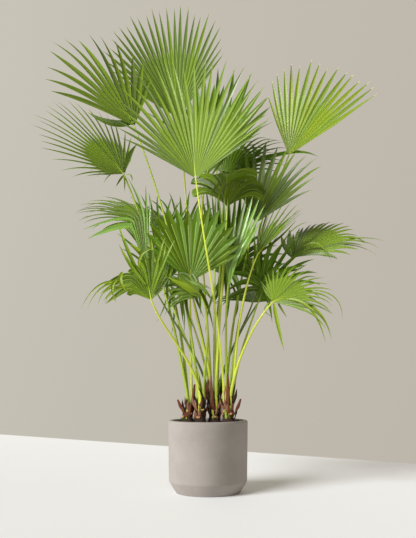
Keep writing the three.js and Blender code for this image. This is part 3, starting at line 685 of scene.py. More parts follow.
def streak_group(name):
    """Fine veins and soft streaks that follow a piece's own map from its foot to its tip."""
    inputs = {"Fineness": 9.0, "Stretch": 14.0, "Veins": 26.0, "Relief": 0.35}
    network, given, result = empty_tree(name, "ShaderNodeTree", inputs, ["Streak", "Height"])
    place = network.parts(network.made("ShaderNodeUVMap"))
    across = network.times(place[0], given["Fineness"])
    where = network.vector(across, network.times(place[1], given["Stretch"]))
    inputs = {"Vector": where, "Scale": 1.0, "Detail": 3.0, "Roughness": 0.6}
    noise = network.made("ShaderNodeTexNoise", inputs)
    vein = network.math("SINE", network.times(place[0], given["Veins"]))
    network.feed(result["Streak"], noise)
    relief = network.times(vein, given["Relief"])
    network.feed(result["Height"], network.math("ADD", relief, noise))
    return network.tree


def mottle_group(name):
    """Soft blotches and fine grain on object coordinates."""
    inputs = {"Blotch size": 12.0, "Grain size": 400.0}
    network, given, result = empty_tree(name, "ShaderNodeTree", inputs, ["Blotch", "Grain"])
    place = network.add("ShaderNodeTexCoord").outputs["Object"]
    for label, detail, roughness in (("Blotch", 4.0, 0.6), ("Grain", 2.0, 0.7)):
        inputs = {"Vector": place, "Scale": given[f"{label} size"], "Detail": detail, "Roughness": roughness}
        network.feed(result[label], network.made("ShaderNodeTexNoise", inputs))
    return network.tree


TREES = {
    "Pleated leaflets": leaflet_tree,
    "Rods": rod_tree,
    "Torn sheaths": sheath_tree,
    "Fibres": fibre_tree,
    "Bark chips": chip_tree,
    "Long streaks": streak_group,
    "Mottle": mottle_group,
}


def tree_named(name):
    """The tree of that name, made on its first use."""
    return bpy.data.node_groups.get(name) or TREES[name](name)


def grown(name, start, tree_name, values):
    """A plain object with the mesh that a Geometry Nodes tree makes of lines or of a mesh."""
    mesh = start.mesh() if isinstance(start, Lines) else start
    piece = added(name, mesh)
    modifier = piece.modifiers.new(tree_name, "NODES")
    modifier.node_group = tree_named(tree_name)
    for item in modifier.node_group.interface.items_tree:
        if item.in_out == "INPUT" and item.name in values:
            modifier[item.identifier] = values[item.name]
    graph = bpy.context.evaluated_depsgraph_get()
    made = bpy.data.meshes.new_from_object(piece.evaluated_get(graph), depsgraph=graph)
    piece.modifiers.remove(modifier)
    piece.data = made
    bpy.data.meshes.remove(mesh)
    made.name = name
    for label in ("across", "upper", "along", "tint", "distance", "half_width", "facing"):
        if label in made.attributes:
            made.attributes.remove(made.attributes[label])
    if not made.polygons:
        raise RuntimeError(f"{name}: the tree made no faces")
    return piece


# Materials


def new_material(name):
    """An empty node material, its network and its main shader."""
    material = bpy.data.materials.new(name)
    material.use_nodes = True
    return material, Network(material.node_tree), material.node_tree.nodes["Principled BSDF"]


def group_node(network, name, **values):
    """The outputs of a shader node group that is placed in a material."""
    node = network.add("ShaderNodeGroup", node_tree=tree_named(name))
    for label, value in values.items():
        node.inputs[label.replace("_", " ").capitalize()].default_value = value
    return node.outputs


def mixed(network, factor, first, second, blend="MIX"):
    """A colour between two, by a factor, or another blend of them."""
    node = network.add("ShaderNodeMix", {"Factor": factor}, data_type="RGBA", blend_type=blend)
    for socket, colour in ((6, first), (7, second)):
        is_socket = isinstance(colour, bpy.types.NodeSocket)
        network.feed(node.inputs[socket], colour if is_socket else (*colour, 1.0))
    return node.outputs[2]


def spread_over(network, value, low, high, to_low=0.0, to_high=1.0):
    """A value stretched from one range to another, and kept within it."""
    inputs = {"Value": value, "From Min": low, "From Max": high, "To Min": to_low, "To Max": to_high}
    return network.made("ShaderNodeMapRange", inputs)


def darker(colour, by):
    """The colour with its values multiplied."""
    return tuple(value * by for value in colour)


def dress(network, shader, colour, roughness, height, depth, strength, gloss):
    """Gives a shader its colour, its roughness, a relief of a depth in metres and its gloss."""
    network.feed(shader.inputs["Base Color"], colour)
    network.feed(shader.inputs["Roughness"], roughness)
    inputs = {"Height": height, "Distance": depth, "Strength": strength}
    network.feed(shader.inputs["Normal"], network.made("ShaderNodeBump", inputs))
    shader.inputs["Specular IOR Level"].default_value = gloss


def made_once(make):
    """A maker of materials that gives the one of a name if it is already there."""

    def found_or_made(name, *values, **more):
        return bpy.data.materials.get(name) or make(name, *values, **more)

    return found_or_made


@made_once
def streaked(name, colour, second, roughness, fineness=9.0, stretch=14.0, depth=0.0003, gloss=0.35):
    """A surface with veins along it: leaf, rib, stalk or sheath."""
    material, network, shader = new_material(name)
    streaks = group_node(network, "Long streaks", fineness=fineness, stretch=stretch)
    tone = mixed(network, spread_over(network, streaks["Streak"], 0.3, 0.7), colour, second)
    dull = spread_over(network, streaks["Streak"], 0.3, 0.7, roughness - 0.06, roughness + 0.08)
    dress(network, shader, tone, dull, streaks["Height"], depth, 0.6, gloss)
    return material


@made_once
def mottled(name, colour, second, roughness, blotch=12.0, grain=400.0, depth=0.0006, speckle=0.35):
    """A dull surface with blotches and grain: stone, bark, soil."""
    material, network, shader = new_material(name)
    mottle = group_node(network, "Mottle", blotch_size=blotch, grain_size=grain)
    soft = network.times(spread_over(network, mottle["Blotch"], 0.3, 0.7), 1.0 - speckle)
    fine = network.times(spread_over(network, mottle["Grain"], 0.35, 0.65), speckle)
    tone = mixed(network, network.math("ADD", soft, fine), colour, second)
    dull = spread_over(network, mottle["Grain"], 0.3, 0.7, roughness - 0.08, roughness + 0.06)
    dress(network, shader, tone, dull, mottle["Grain"], depth, 0.7, 0.3)
    return material


def leafy(name, colour, shade, roughness, gloss):
    """A leaf's surface, with streaks of its own colour in a darker shade."""
    return streaked(name, colour, darker(colour, shade), roughness, 7.0, 9.0, 0.00008, gloss)


# The rule of growth


def out_at(turn):
    """The level direction at a turn in degrees from +X towards +Y."""
    angle = math.radians(turn)
    return np.array([math.cos(angle), math.sin(angle), 0.0])


def fronds_of(stem_name):
    """The fronds that stand on a stem."""
    return [frond for frond in FRONDS if frond.stem == stem_name]


def seat_radius(stem_name):
    """The circle on which a crown's stalks stand side by side."""
    return (STALK_FOOT_RADIUS + SEAT_SPACING / 2) / math.sin(math.pi / len(fronds_of(stem_name)))


def crown_radius(stem_name):
    """How wide a stem's top is."""
    return seat_radius(stem_name) + STALK_FOOT_RADIUS + 0.5


def seat_turns(stem_name):
    """The turn in degrees at which each frond of a stem has its seat."""
    crown = STEMS[stem_name]["crown"]
    headings = {}
    for frond in fronds_of(stem_name):
        headings[frond.name] = math.atan2(frond.hub[1] - crown[1], frond.hub[0] - crown[0])
    names = sorted(headings, key=headings.get)
    step = 2 * math.pi / len(names)
    leads = [headings[name] - rank * step for rank, name in enumerate(names)]
    first = math.atan2(sum(math.sin(lead) for lead in leads), sum(math.cos(lead) for lead in leads))
    return {name: math.degrees(first + rank * step) for rank, name in enumerate(names)}


def stalk_line(frond, turn, count):
    """Points along a stalk, from its seat to the fan's hub."""
    start = np.array(STEMS[frond.stem]["crown"], float) + out_at(turn) * seat_radius(frond.stem)
    chord = frond.hub - start
    length = np.linalg.norm(chord)
    arrival = unit(frond.aim + unit(chord) * STRAIGHTNESS) * length * ARRIVAL_SHARE - frond.bow
    lift = np.array([chord[0] * LEAN_SHARE, chord[1] * LEAN_SHARE, length * RISE_SHARE]) + frond.bow
    along = np.linspace(0, 1, count)[:, None]
    ends = [start, start + lift, frond.hub - arrival, frond.hub]
    shares = [(1 - along) ** 3, 3 * along * (1 - along) ** 2, 3 * along**2 * (1 - along), along**3]
    return sum(part * point for part, point in zip(shares, ends))


def rib_line(frond, turn, stretch=1.0, sag=0.0):
    """Points along the rib that leaves the hub at a turn, and the blade's width direction at the hub."""
    angle = math.radians(turn)
    end, side = (0, -1) if turn < 0 else (1, 1)
    lifted = frond.across * math.cos(frond.fold) + frond.face * math.sin(frond.fold) * side
    leaving = frond.aim * math.cos(angle) + lifted * math.sin(angle)
    sideways = lifted * math.cos(angle) - frond.aim * math.sin(angle)
    length = frond.reach * (1 - frond.shortening[end] * abs(turn / frond.spread[end]) ** 3)
    along = (np.arange(RIB_STEPS) + 0.5) / RIB_STEPS
    loose = np.clip((along - frond.onset) / (1 - frond.onset), 0, 1)
    free = np.clip((along - frond.joined) / (1 - frond.joined), 0, 1)
    left, right = frond.droop
    droop = max(0.0, left + (right - left) * (turn + frond.spread[0]) / sum(frond.spread))
    weight = droop * loose**frond.late * (1 + sag * free)
    heading = leaving + weight[:, None] * frond.pull
    heading /= np.linalg.norm(heading, axis=1)[:, None]
    step = length / RIB_STEPS * np.where(free > 0, stretch, 1.0)
    points = frond.hub + np.vstack([np.zeros(3), np.cumsum(heading * step[:, None], axis=0)])
    return points, sideways


def at_shares(points, shares):
    """Points at shares of the way along evenly stepped ones."""
    places = np.asarray(shares) * (len(points) - 1)
    return np.column_stack([np.interp(places, np.arange(len(points)), column) for column in points.T])


def distances(points):
    """How far each point is from the first one along their line."""
    return np.concatenate([[0], np.cumsum(np.linalg.norm(np.diff(points, axis=0), axis=1))])


def carried(points, sideways):
    """Tangents and sideways directions along a line, carried on from its start without twist."""
    tangents = np.gradient(points, axis=0)
    tangents /= np.linalg.norm(tangents, axis=1)[:, None]
    sides = []
    for tangent in tangents:
        sideways = unit(sideways - tangent * (sideways @ tangent))
        sides.append(sideways)
    return tangents, np.array(sides)


def square_to(tangents, vectors):
    """The vectors without their parts along the tangents."""
    return vectors - tangents * np.sum(vectors * tangents, axis=1)[:, None]


class Lines:
    """Chains of points with the values that the sweeping trees read."""

    def __init__(self):
        self.points = []
        self.edges = []
        self.facing = []
        self.values = {"half_width": [], "along": [], "tint": [], "distance": []}

    def add(self, points, facing, half_width, tint=0.0, first_along=0.0):
        """One chain, in millimetres, from its foot to its tip."""
        first = len(self.points)
        count = len(points)
        self.points.extend((np.asarray(points) * MM).tolist())
        self.edges.extend((first + i, first + i + 1) for i in range(count - 1))
        self.facing.extend(np.asarray(facing).tolist())
        self.values["half_width"].extend((np.asarray(half_width) * MM).tolist())
        self.values["along"].extend((first_along + np.linspace(0, 1, count)).tolist())
        self.values["tint"].extend([tint] * count)
        self.values["distance"].extend((distances(points) * MM).tolist())

    def mesh(self):
        """The chains as a mesh of edges."""
        mesh = bpy.data.meshes.new("lines")
        mesh.from_pydata(self.points, self.edges, [])
        for label, numbers in self.values.items():
            mesh.attributes.new(label, "FLOAT", "POINT").data.foreach_set("value", numbers)
        facing = mesh.attributes.new("facing", "FLOAT_VECTOR", "POINT")
        facing.data.foreach_set("vector", np.array(self.facing).ravel())
        return mesh


def leaflet_line(frond, turn, width, joined, stretch, sag, swing, roll):
    """The line, facing and half widths of a leaflet that takes up a width in degrees at a turn."""
    ribs, sideways = rib_line(frond, turn, stretch, sag)
    beyond = joined + (1 - joined) * np.linspace(FREE_START, 1, FREE_POINTS)
    shares = np.concatenate([np.linspace(RIB_START, joined, JOINED_POINTS), beyond])
    free = np.clip((shares - joined) / (1 - joined), 0, 1)
    points = at_shares(ribs, shares)
    tangents, sides = carried(points, sideways)
    # Up to where it is free, a leaflet reaches to its neighbours on both sides
    left, right = (
        at_shares(rib_line(frond, turn + part * width / 2, stretch)[0], shares) for part in (-1, 1)
    )
    spans = square_to(tangents, right - left)
    for index, tangent in enumerate(tangents):
        sideways = spans[index] if free[index] == 0 else sideways
        sideways = unit(sideways - tangent * (sideways @ tangent))
        sides[index] = sideways
    normals = np.cross(sides, tangents)
    breadth = np.linalg.norm(spans, axis=1) / 2
    taper = (1 - free**TIP_POWER) * (1 + (frond.slim - 1) * np.minimum(free / SLIMMING_SHARE, 1))
    half_width = np.where(free > 0, np.interp(joined, shares, breadth), breadth) * taper
    from_hub = np.linalg.norm(points - frond.hub, axis=1)
    reached = np.where(free > 0, np.interp(joined, shares, from_hub), from_hub)
    room = math.radians(width)
    pleat = PLEAT_SHARE * room * reached * (1 - free)
    swung = swing * room * frond.reach * (shares - joined) * (free > 0)
    points = points - normals * pleat[:, None] + sides * swung[:, None]
    rolled = roll * free
    facing = normals * np.cos(rolled)[:, None] + sides * np.sin(rolled)[:, None]
    return points, facing, np.maximum(half_width, LEAST_HALF_WIDTH)


def fan_lines(frond, fineness, raggedness):
    """The ribs of a fan's leaflets, finer than in the solid but by the same rule."""
    lines = Lines()
    number = int(frond.name)
    count = max(4, round(frond.leaflets * fineness))
    width = (frond.spread[0] + frond.spread[1]) / count
    for leaflet in range(count):
        chance = [share(number, 40 * kind + leaflet) for kind in range(1, 7)]
        turn = -frond.spread[0] + (leaflet + 0.5) * width
        joined = frond.webbed * (1 + JOIN_VARIETY * (chance[0] - 0.5))
        trim = frond.trim[0] + (frond.trim[1] - frond.trim[0]) * (leaflet + 0.5) / count
        kept = BARE_LENGTH if chance[2] < frond.bare else 1
        stretch = trim * (1 - raggedness * chance[1] ** 2) * kept
        sag = SAG * (chance[2] - 0.5)
        swing = SWING * (chance[3] - 0.5)
        roll = math.radians(ROLL) * (chance[4] - 0.5)
        lines.add(*leaflet_line(frond, turn, width, joined, stretch, sag, swing, roll), chance[5])
    for start, rows in LOOSE.get(frond.name, []):
        for row in rows:
            add_loose(lines, frond, start, *row)
    return lines


def add_loose(lines, frond, start, bend, tip, half_width, look):
    """A leaflet that runs from its start over its bend to its tip."""
    start, bend, tip = (np.array(place, float) for place in (start, bend, tip))
    along = np.linspace(0, 1, LOOSE_POINTS)[:, None]
    pull = 2 * bend - (start + tip) / 2
    points = start * (1 - along) ** 2 + pull * 2 * along * (1 - along) + tip * along**2
    tangents, sides = carried(points, np.cross(frond.face, unit(pull - start)))
    along = along[:, 0]
    shape = np.minimum(0.45 + along / 0.35, 1) * (1 - np.clip((along - 0.4) / 0.6, 0, 1) ** 1.6)
    half_width = np.maximum(half_width * shape, LEAST_HALF_WIDTH)
    tint = 0.8 if look == 2 else 0.5
    lines.add(points, np.cross(tangents, sides), half_width, tint, 1.0 if look == 1 else 0.0)


def settle(pieces, slot, *nodes):
    """Puts finished pieces on the part's body in place of nodes. The slot is not used."""
    for piece in pieces:
        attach(piece, "root")
        if nodes:
            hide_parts(*nodes)


def closed_mesh(name, rings, foot, head):
    """A smooth closed mesh of equal rings of points, in millimetres, between two middle points."""
    sides = len(rings[0])
    points = [np.array(point) * MM for ring in rings for point in ring]
    last = len(points) - sides
    faces = []
    for low in range(0, last, sides):
        for side in range(sides):
            following = (side + 1) % sides
            faces.append((low + side, low + following, low + sides + following, low + sides + side))
    for side in range(sides):
        following = (side + 1) % sides
        faces.append((len(points), following, side))
        faces.append((len(points) + 1, last + side, last + following))
    mesh = bpy.data.meshes.new(name)
    mesh.from_pydata(points + [np.array(foot) * MM, np.array(head) * MM], [], faces)
    mesh.shade_smooth()
    return mesh


# Tub and potting mix


def level_ring(radius, height, sides):
    """Points round the Z axis at a height."""
    angles = [2 * math.pi * side / sides for side in range(sides)]
    return [(radius * math.cos(angle), radius * math.sin(angle), height) for angle in angles]


def turned_piece(name, profile, sides):
    """A closed piece turned about the Z axis from a profile that starts and ends on it."""
    rings = [level_ring(radius, height, sides) for radius, height in profile[1:-1]]
    return added(name, closed_mesh(name, rings, (0, 0, profile[0][1]), (0, 0, profile[-1][1])))


def rounded_corner(centre, radius, start, end, steps):
    """Points on an arc, from one angle to another in degrees."""
    angles = np.radians(np.linspace(start, end, steps))
    return [(centre[0] + radius * math.cos(angle), centre[1] + radius * math.sin(angle)) for angle in angles]


def pot_profile():
    """The tub's section from the middle of its underside to the middle of its floor."""
    wall = POT_RIM_RADIUS - POT_TAPER
    inner = POT_RIM_RADIUS - POT_WALL
    top = POT_HEIGHT - RIM_ROUND
    profile = [(0, 0), (FOOT_RADIUS - 4, 0), (FOOT_RADIUS - 1.2, 0.4), (FOOT_RADIUS, 1.6)]
    profile += [(wall - 1.6, CHAMFER_RISE - 2.2), (wall - 0.4, CHAMFER_RISE - 0.2), (wall, CHAMFER_RISE + 2)]
    for rise in (0.25, 0.5, 0.75):
        profile.append((wall + POT_TAPER * rise, CHAMFER_RISE + (top - CHAMFER_RISE) * rise))
    profile += rounded_corner((POT_RIM_RADIUS - RIM_ROUND, top), RIM_ROUND, 0, 90, 7)
    profile += rounded_corner((inner + RIM_ROUND, top), RIM_ROUND, 90, 180, 7)
    profile += [(inner, POT_FLOOR + CHAMFER_RISE), (FOOT_RADIUS - POT_WALL, POT_FLOOR), (0, POT_FLOOR)]
    return profile


def soil_profile():
    """The potting mix's section from its foot to the middle of its top."""
    radius = POT_RIM_RADIUS - POT_WALL - SEAT_GAP
    floor = POT_FLOOR + SEAT_GAP
    profile = [(0, floor), (FOOT_RADIUS - POT_WALL - SEAT_GAP, floor)]
    profile += [(radius, POT_FLOOR + CHAMFER_RISE + SEAT_GAP), (radius, SOIL_LEVEL - SOIL_EDGE_DROP)]
    inner = radius - SOIL_EDGE_WIDTH
    profile += [(inner * part, SOIL_LEVEL) for part in (1, 0.9, 0.8, 0.7, 0.6, 0.5, 0.4, 0.3, 0.2, 0.1)]
    return profile + [(0, SOIL_LEVEL)]


def soil_waves(x, y):
    """The rise of the potting mix's uneven top."""
    return math.sin(x / 9 + 1) * math.sin(y / 7) * 1.4 + math.sin(x / 3.1 + y / 4.3) * 0.7


def soil_surface():
    """The open surface on which the bark chips lie."""
    sides = 32
    flat = SURFACE_RADII[-2]
    points = [(0, 0, SOIL_LEVEL * MM)]
    faces = []
    for ring, radius in enumerate(SURFACE_RADII):
        drop = SOIL_EDGE_DROP * max(0, (radius - flat) / (SURFACE_RADII[-1] - flat))
        circle = level_ring(radius, SOIL_LEVEL - drop + 0.5, sides)
        points += [tuple(value * MM for value in point) for point in circle]
        low = 1 + (ring - 1) * sides
        for side in range(sides):
            following = (side + 1) % sides
            if ring == 0:
                faces.append((0, 1 + side, 1 + following))
            else:
                faces.append((low + side, low + sides + side, low + sides + following, low + following))
    surface = bpy.data.meshes.new("surface")
    surface.from_pydata(points, [], faces)
    return surface


# Stems


def stem_middle(stem, height):
    """A point on a stem's middle line at a height above the potting mix."""
    rise = height / (stem["crown"][2] - SOIL_LEVEL)
    x = stem["foot"][0] + (stem["crown"][0] - stem["foot"][0]) * rise
    y = stem["foot"][1] + (stem["crown"][1] - stem["foot"][1]) * rise
    return np.array([x, y, SOIL_LEVEL + SEAT_GAP + height])


def trunk_piece(name, stem_name, relief):
    """A stem's column with overlapping scales of old leaf bases and fine upright ridges."""
    stem = STEMS[stem_name]
    number = ord(stem_name)
    top = crown_radius(stem_name)
    rises = [0, 0.12, 0.35, 0.65, 0.88, 1]
    radii = [STEM_FLARE_RADIUS, STEM_FLARE_RADIUS * 0.82, STEM_WAIST_RADIUS + 2, STEM_WAIST_RADIUS]
    radii += [top * 0.8, top * 0.6]
    height = stem["crown"][2] - SOIL_LEVEL - SEAT_GAP
    rings = []
    for ring in range(TRUNK_RINGS + 1):
        rise = ring / TRUNK_RINGS
        middle = stem_middle(stem, height * rise)
        outline = np.interp(rise, rises, radii)
        points = []
        for side in range(TRUNK_SIDES):
            angle = 2 * math.pi * side / TRUNK_SIDES
            wander = math.sin(angle * 3 + number) + math.sin(angle * 5 + rise * 9)
            scale = (height * rise / SCALE_HEIGHT + angle / math.pi + 0.16 * wander) % 1.0
            ridge = math.sin(angle * 22 + 2.5 * math.sin(rise * 7 + number)) * 0.35
            lump = math.sin(angle * 2 + rise * 13 + number * 2) * 0.8
            radius = outline - relief + (relief * scale**0.7 + ridge + lump) * (1 - 0.6 * rise**4)
            points.append(middle + out_at(math.degrees(angle)) * radius)
        rings.append(points)
    return added(name, closed_mesh(name, rings, stem_middle(stem, 0), stem_middle(stem, height + 1.5)))


def torn_strip(stem_name, turn, height, lean, length, width, taper):
    """The line, facing and half widths of one torn sheath."""
    out = out_at(turn)
    rise = unit(UP + out * lean)
    root_radius = STEM_WAIST_RADIUS - 4
    root = stem_middle(STEMS[stem_name], height - SHEATH_ROOT_DEPTH) + out * root_radius
    mouth = crown_radius(stem_name) + 1.6 - root_radius
    shares = np.linspace(0, 1, SHEATH_POINTS)
    points = []
    for along in shares:
        climbed = rise * (length + SHEATH_ROOT_DEPTH) * along
        points.append(root + climbed + out * mouth * min(along / SHEATH_HELD, 1))
    points = np.array(points)
    tangents, sides = carried(points, out_at(turn + 90))
    facing = np.cross(sides, tangents)
    # Its free end twists round to show its broad side to the front
    turned = SHEATH_TWIST * np.clip((shares - SHEATH_HELD) / TWISTING_SHARE, 0, 1)[:, None]
    facing = square_to(tangents, facing * (1 - turned) + TO_FRONT * turned)
    facing /= np.linalg.norm(facing, axis=1)[:, None]
    narrowing = np.maximum(1.25 - shares * taper, 0.04)
    return points, facing, width / 2 * np.where(shares < SHEATH_HELD, 1.0, narrowing)


def old_sheaths(stem_name, count):
    """The torn sheaths that the solid has, and smaller ones that wrap the stem between them."""
    lines = Lines()
    stem = STEMS[stem_name]
    for turn, height, lean, length, tint in stem["sheaths"]:
        lines.add(*torn_strip(stem_name, turn, height, lean, length, SHEATH_WIDTH * 1.4, 0.9), tint)
    height_limit = stem["crown"][2] - SOIL_LEVEL
    for index in range(count):
        chance = [share(ord(stem_name), 50 + 7 * index + kind) for kind in range(5)]
        turn = index * GOLDEN_TURN + 40 * chance[0]
        height = 22 + (height_limit - 30) * chance[1]
        length = 18 + 32 * chance[2]
        width = 11 + 9 * chance[3]
        lean = 0.02 + 0.2 * chance[4]
        lines.add(*torn_strip(stem_name, turn, height, lean, length, width, 1.2), chance[0])
    return lines


def base_points(stem_name, turn, drop):
    """Points up the side of a stem, from where a leaf base leaves it to the seat of its stalk."""
    stem = STEMS[stem_name]
    height = stem["crown"][2] - SOIL_LEVEL - SEAT_GAP
    inner = STEM_WAIST_RADIUS - 3
    rows = []
    for depth in np.linspace(1, 0.08, BASE_POINTS):
        out = inner + (seat_radius(stem_name) - inner) * (1 - depth) ** 0.7
        rows.append(stem_middle(stem, height - drop * depth) + out_at(turn) * out)
    return np.array(rows)


def wrapping_sheaths(stem_name, foot_radius):
    """Torn sheaths that clasp the stalks' feet and end in points of uneven height."""
    lines = Lines()
    number = ord(stem_name)
    for index, (name, turn) in enumerate(seat_turns(stem_name).items()):
        chance = [share(number, 300 + 7 * index + kind) for kind in range(4)]
        frond = next(frond for frond in FRONDS if frond.name == name)
        stalk = stalk_line(frond, turn, 90)
        reach = WRAP_LEAST_REACH + WRAP_MORE_REACH * chance[0] ** 2
        below = base_points(stem_name, turn, 30 + 30 * chance[1])
        points = np.vstack([below, stalk[distances(stalk) < reach]])
        swerve = out_at(turn + 50 * (chance[2] - 0.5))
        points = points + swerve * (foot_radius * 0.9)
        shares = np.linspace(0, 1, WRAP_POINTS)
        points = at_shares(points, shares)
        points = points + swerve * (9 * np.clip((shares - 0.6) / 0.4, 0, 1)[:, None] ** 2 * chance[3])
        tangents, sides = carried(points, out_at(turn + 90))
        half = WRAP_HALF_WIDTH * (0.8 + 0.2 * np.sin(shares * 3))
        half = half * (1 - np.clip((shares - 0.45) / 0.55, 0, 1) ** 1.5)
        lines.add(points, np.cross(sides, tangents), np.maximum(half, 0.4), share(number, 80 + index))
    return lines


def cut_stubs(stem_name):
    """The short stumps of cut leaf bases."""
    lines = Lines()
    stem = STEMS[stem_name]
    for turn, height, length in stem["stubs"]:
        out = out_at(turn)
        start = stem_middle(stem, height) + out * STEM_WAIST_RADIUS * 0.4
        end = start + out * length * 0.75 + UP * length * 0.8
        facing = np.tile(np.cross(out_at(turn + 90), unit(end - start)), (5, 1))
        lines.add(np.linspace(start, end, 5), facing, np.linspace(STUB_RADIUS, STUB_RADIUS * 0.85, 5))
    return lines


def stalk_lines(frond, turn, foot_radius, tip_radius):
    """A stalk's line with its clasping foot, carried on into the blade as its thick middle rib."""
    points = stalk_line(frond, turn, STALK_POINTS)
    along = np.linspace(0, 1, STALK_POINTS)
    clasp = 1 + CLASP_SWELL * np.clip(1 - along / CLASP_SHARE, 0, 1) ** 1.5
    half_width = (foot_radius + (tip_radius - foot_radius) * along) * clasp
    at_front = math.cos(math.radians(turn + 90)) > 0.6
    drop = FRONT_BASE_DROP if at_front else LEAST_BASE_DROP + MORE_BASE_DROP * share(int(frond.name), 7)
    below = base_points(frond.stem, turn, drop)
    ribs, _ = rib_line(frond, 0.0)
    midrib = at_shares(ribs, np.linspace(RIB_START, MIDRIB_SHARE, MIDRIB_POINTS))
    points = np.vstack([below, points[1:], midrib])
    swelling = foot_radius * np.linspace(0.9, 1.4, BASE_POINTS)
    ending = tip_radius * np.linspace(0.85, 0.1, MIDRIB_POINTS)
    half_width = np.concatenate([swelling, half_width[1:], ending])
    tangents, sides = carried(points, out_at(turn + 90))
    lines = Lines()
    lines.add(points, -np.cross(sides, tangents), half_width)
    return lines


# Settings


def colour(label, text, value):
    """A colour that a user may change."""
    return FloatVectorProperty(
        name=label, description=text, default=value, size=3, min=0, max=1, subtype="COLOR"
    )


def amount(label, text, value, **more):
    """A number that a user may change."""
    return FloatProperty(name=label, description=text, default=value, **more)


class PalmPotSettings(bpy.types.PropertyGroup):
    """Sizes and colours of the tub."""

    sides: IntProperty(name="Sides", description="Facets round the tub", default=144, min=24, max=360)
    stone: colour("Stone", "Main colour of the tub", (0.385, 0.347, 0.316))
    stain: colour("Stain", "Colour of its darker blotches", (0.305, 0.272, 0.244))


class PalmSoilSettings(bpy.types.PropertyGroup):
    """Sizes and colours of the potting mix."""

    chip_size: amount("Chip size", "Size of a bark chip", 0.0042, unit="LENGTH")
    density: amount("Density", "Chips to the square metre", 16000.0, min=0)
    mix: colour("Mix", "Colour of the potting mix", (0.03, 0.019, 0.012))
    chip: colour("Chip", "Colour of most chips", (0.07, 0.042, 0.026))
    pale_chip: colour("Pale chip", "Colour of some chips", (0.2, 0.12, 0.07))


class PalmStemSettings(bpy.types.PropertyGroup):
    """Sizes and colours of the stems."""

    relief: amount("Relief", "Depth of the scales in millimetres", 3.2, min=0)
    sheaths: IntProperty(name="Sheaths", description="Small torn sheaths on each stem", default=22, min=0)
    fibres: amount("Fibres", "Fibres to the square metre", 26000.0, min=0)
    bark: colour("Bark", "Colour of the stems", (0.04, 0.022, 0.014))
    rust: colour("Rust", "Colour of red-brown sheaths", (0.2, 0.06, 0.03))
    husk: colour("Husk", "Colour of pale sheaths", (0.3, 0.165, 0.1))
    cut: colour("Cut", "Colour of the stubs' cut faces", (0.62, 0.34, 0.14))
    stub: colour("Stub", "Colour of the stubs' sides", (0.2, 0.27, 0.04))


class PalmStalkSettings(bpy.types.PropertyGroup):
    """Sizes and colours of the stalks."""

    foot_radius: amount("Foot radius", "Radius at the seat", 0.0059, unit="LENGTH")
    tip_radius: amount("Tip radius", "Radius at the blade", 0.003, unit="LENGTH")
    lime: colour("Lime", "Colour of the brightest stalks", (0.6, 0.68, 0.06))
    green: colour("Green", "Colour of most stalks", (0.36, 0.48, 0.04))
    dark: colour("Dark", "Colour of the oldest stalks", (0.13, 0.21, 0.02))


class PalmFanSettings(bpy.types.PropertyGroup):
    """Sizes and colours of the fans."""

    fineness: amount("Fineness", "Factor on the number of leaflets", 1.0, min=0.3)
    fold: amount("Fold", "Rise of a leaflet's edges over its half width", 0.5)
    thickness: amount("Thickness", "Share of a leaflet's half width", 0.045)
    raggedness: amount("Raggedness", "How uneven the tips are", 0.16, min=0, max=0.5)
    # Deep and Shade are darker copies of the leaf green: painted shade for the fans inside and low in the
    # crown
    deep: colour("Deep", "Leaves in the middle of the crown", (0.1, 0.2, 0.006))
    shade: colour("Shade", "Leaves in the lower crown", (0.086, 0.15, 0.004))
    mid: colour("Mid", "Most leaves", (0.12, 0.195, 0.02))
    # Painted light: Fresh is a lighter copy of the leaf green for the fans that stand in bright light
    fresh: colour("Fresh", "Young leaves", (0.187, 0.292, 0.022))
    lime: colour("Lime", "The brightest leaves", (0.225, 0.322, 0.01))
    blue: colour("Blue", "Bluish leaves", (0.18, 0.345, 0.035))
    olive: colour("Olive", "Dull leaves", (0.155, 0.255, 0.01))
    underside: colour("Underside", "Lower sides", (0.145, 0.235, 0.016))
    # Partly the ribs' own pale colour, partly a painted highlight along them
    rib: colour("Rib", "Ribs of the leaflets", (0.26, 0.38, 0.05))
    tip: colour("Tip", "Yellowing tips", (0.5, 0.56, 0.1))
    straw: colour("Straw", "Dry tips", (0.55, 0.5, 0.24))


class PalmStageSettings(bpy.types.PropertyGroup):
    """Floor, backdrop and light."""

    floor: colour("Floor", "Colour of the floor", (0.97, 0.965, 0.96))
    # The backdrop's two colours are a painted glow that it emits; the darker one at the right is painted
    # shade
    wall: colour("Wall", "Colour of the backdrop", (0.563, 0.536, 0.466))
    wall_shaded_right: colour("Wall at the right", "Its colour at the right", (0.52, 0.475, 0.414))
    key: amount("Key light", "Strength of the plant's main light", 3.6, min=0)
    tub_key: amount("Tub light", "Strength of the tub's main light", 4.1, min=0)
    floor_key: amount("Floor light", "Strength of the floor's main light", 3.35, min=0)
    fill: amount("Fill light", "Power of the second light", 7.0, unit="POWER")
    window: amount("Window", "Power of the light on the crown", 3.2, unit="POWER")
    world: amount("Surroundings", "Strength of the light from all sides", 0.27)


# Operators


class PALM_OT_shape_pot(bpy.types.Operator):
    """Turn the stone tub with its drawn-in foot"""

    bl_idname = "palm.shape_pot"
    bl_label = "Shape the tub"

    def execute(self, context):
        settings = context.scene.palm_pot
        tub = turned_piece("tub", pot_profile(), settings.sides)
        stone = mottled("fibre stone", settings.stone, settings.stain, 0.8, 9.0, 320.0, 0.0005)
        tub.data.materials.append(stone)
        settle([tub], "pot", "pot")
        return {"FINISHED"}


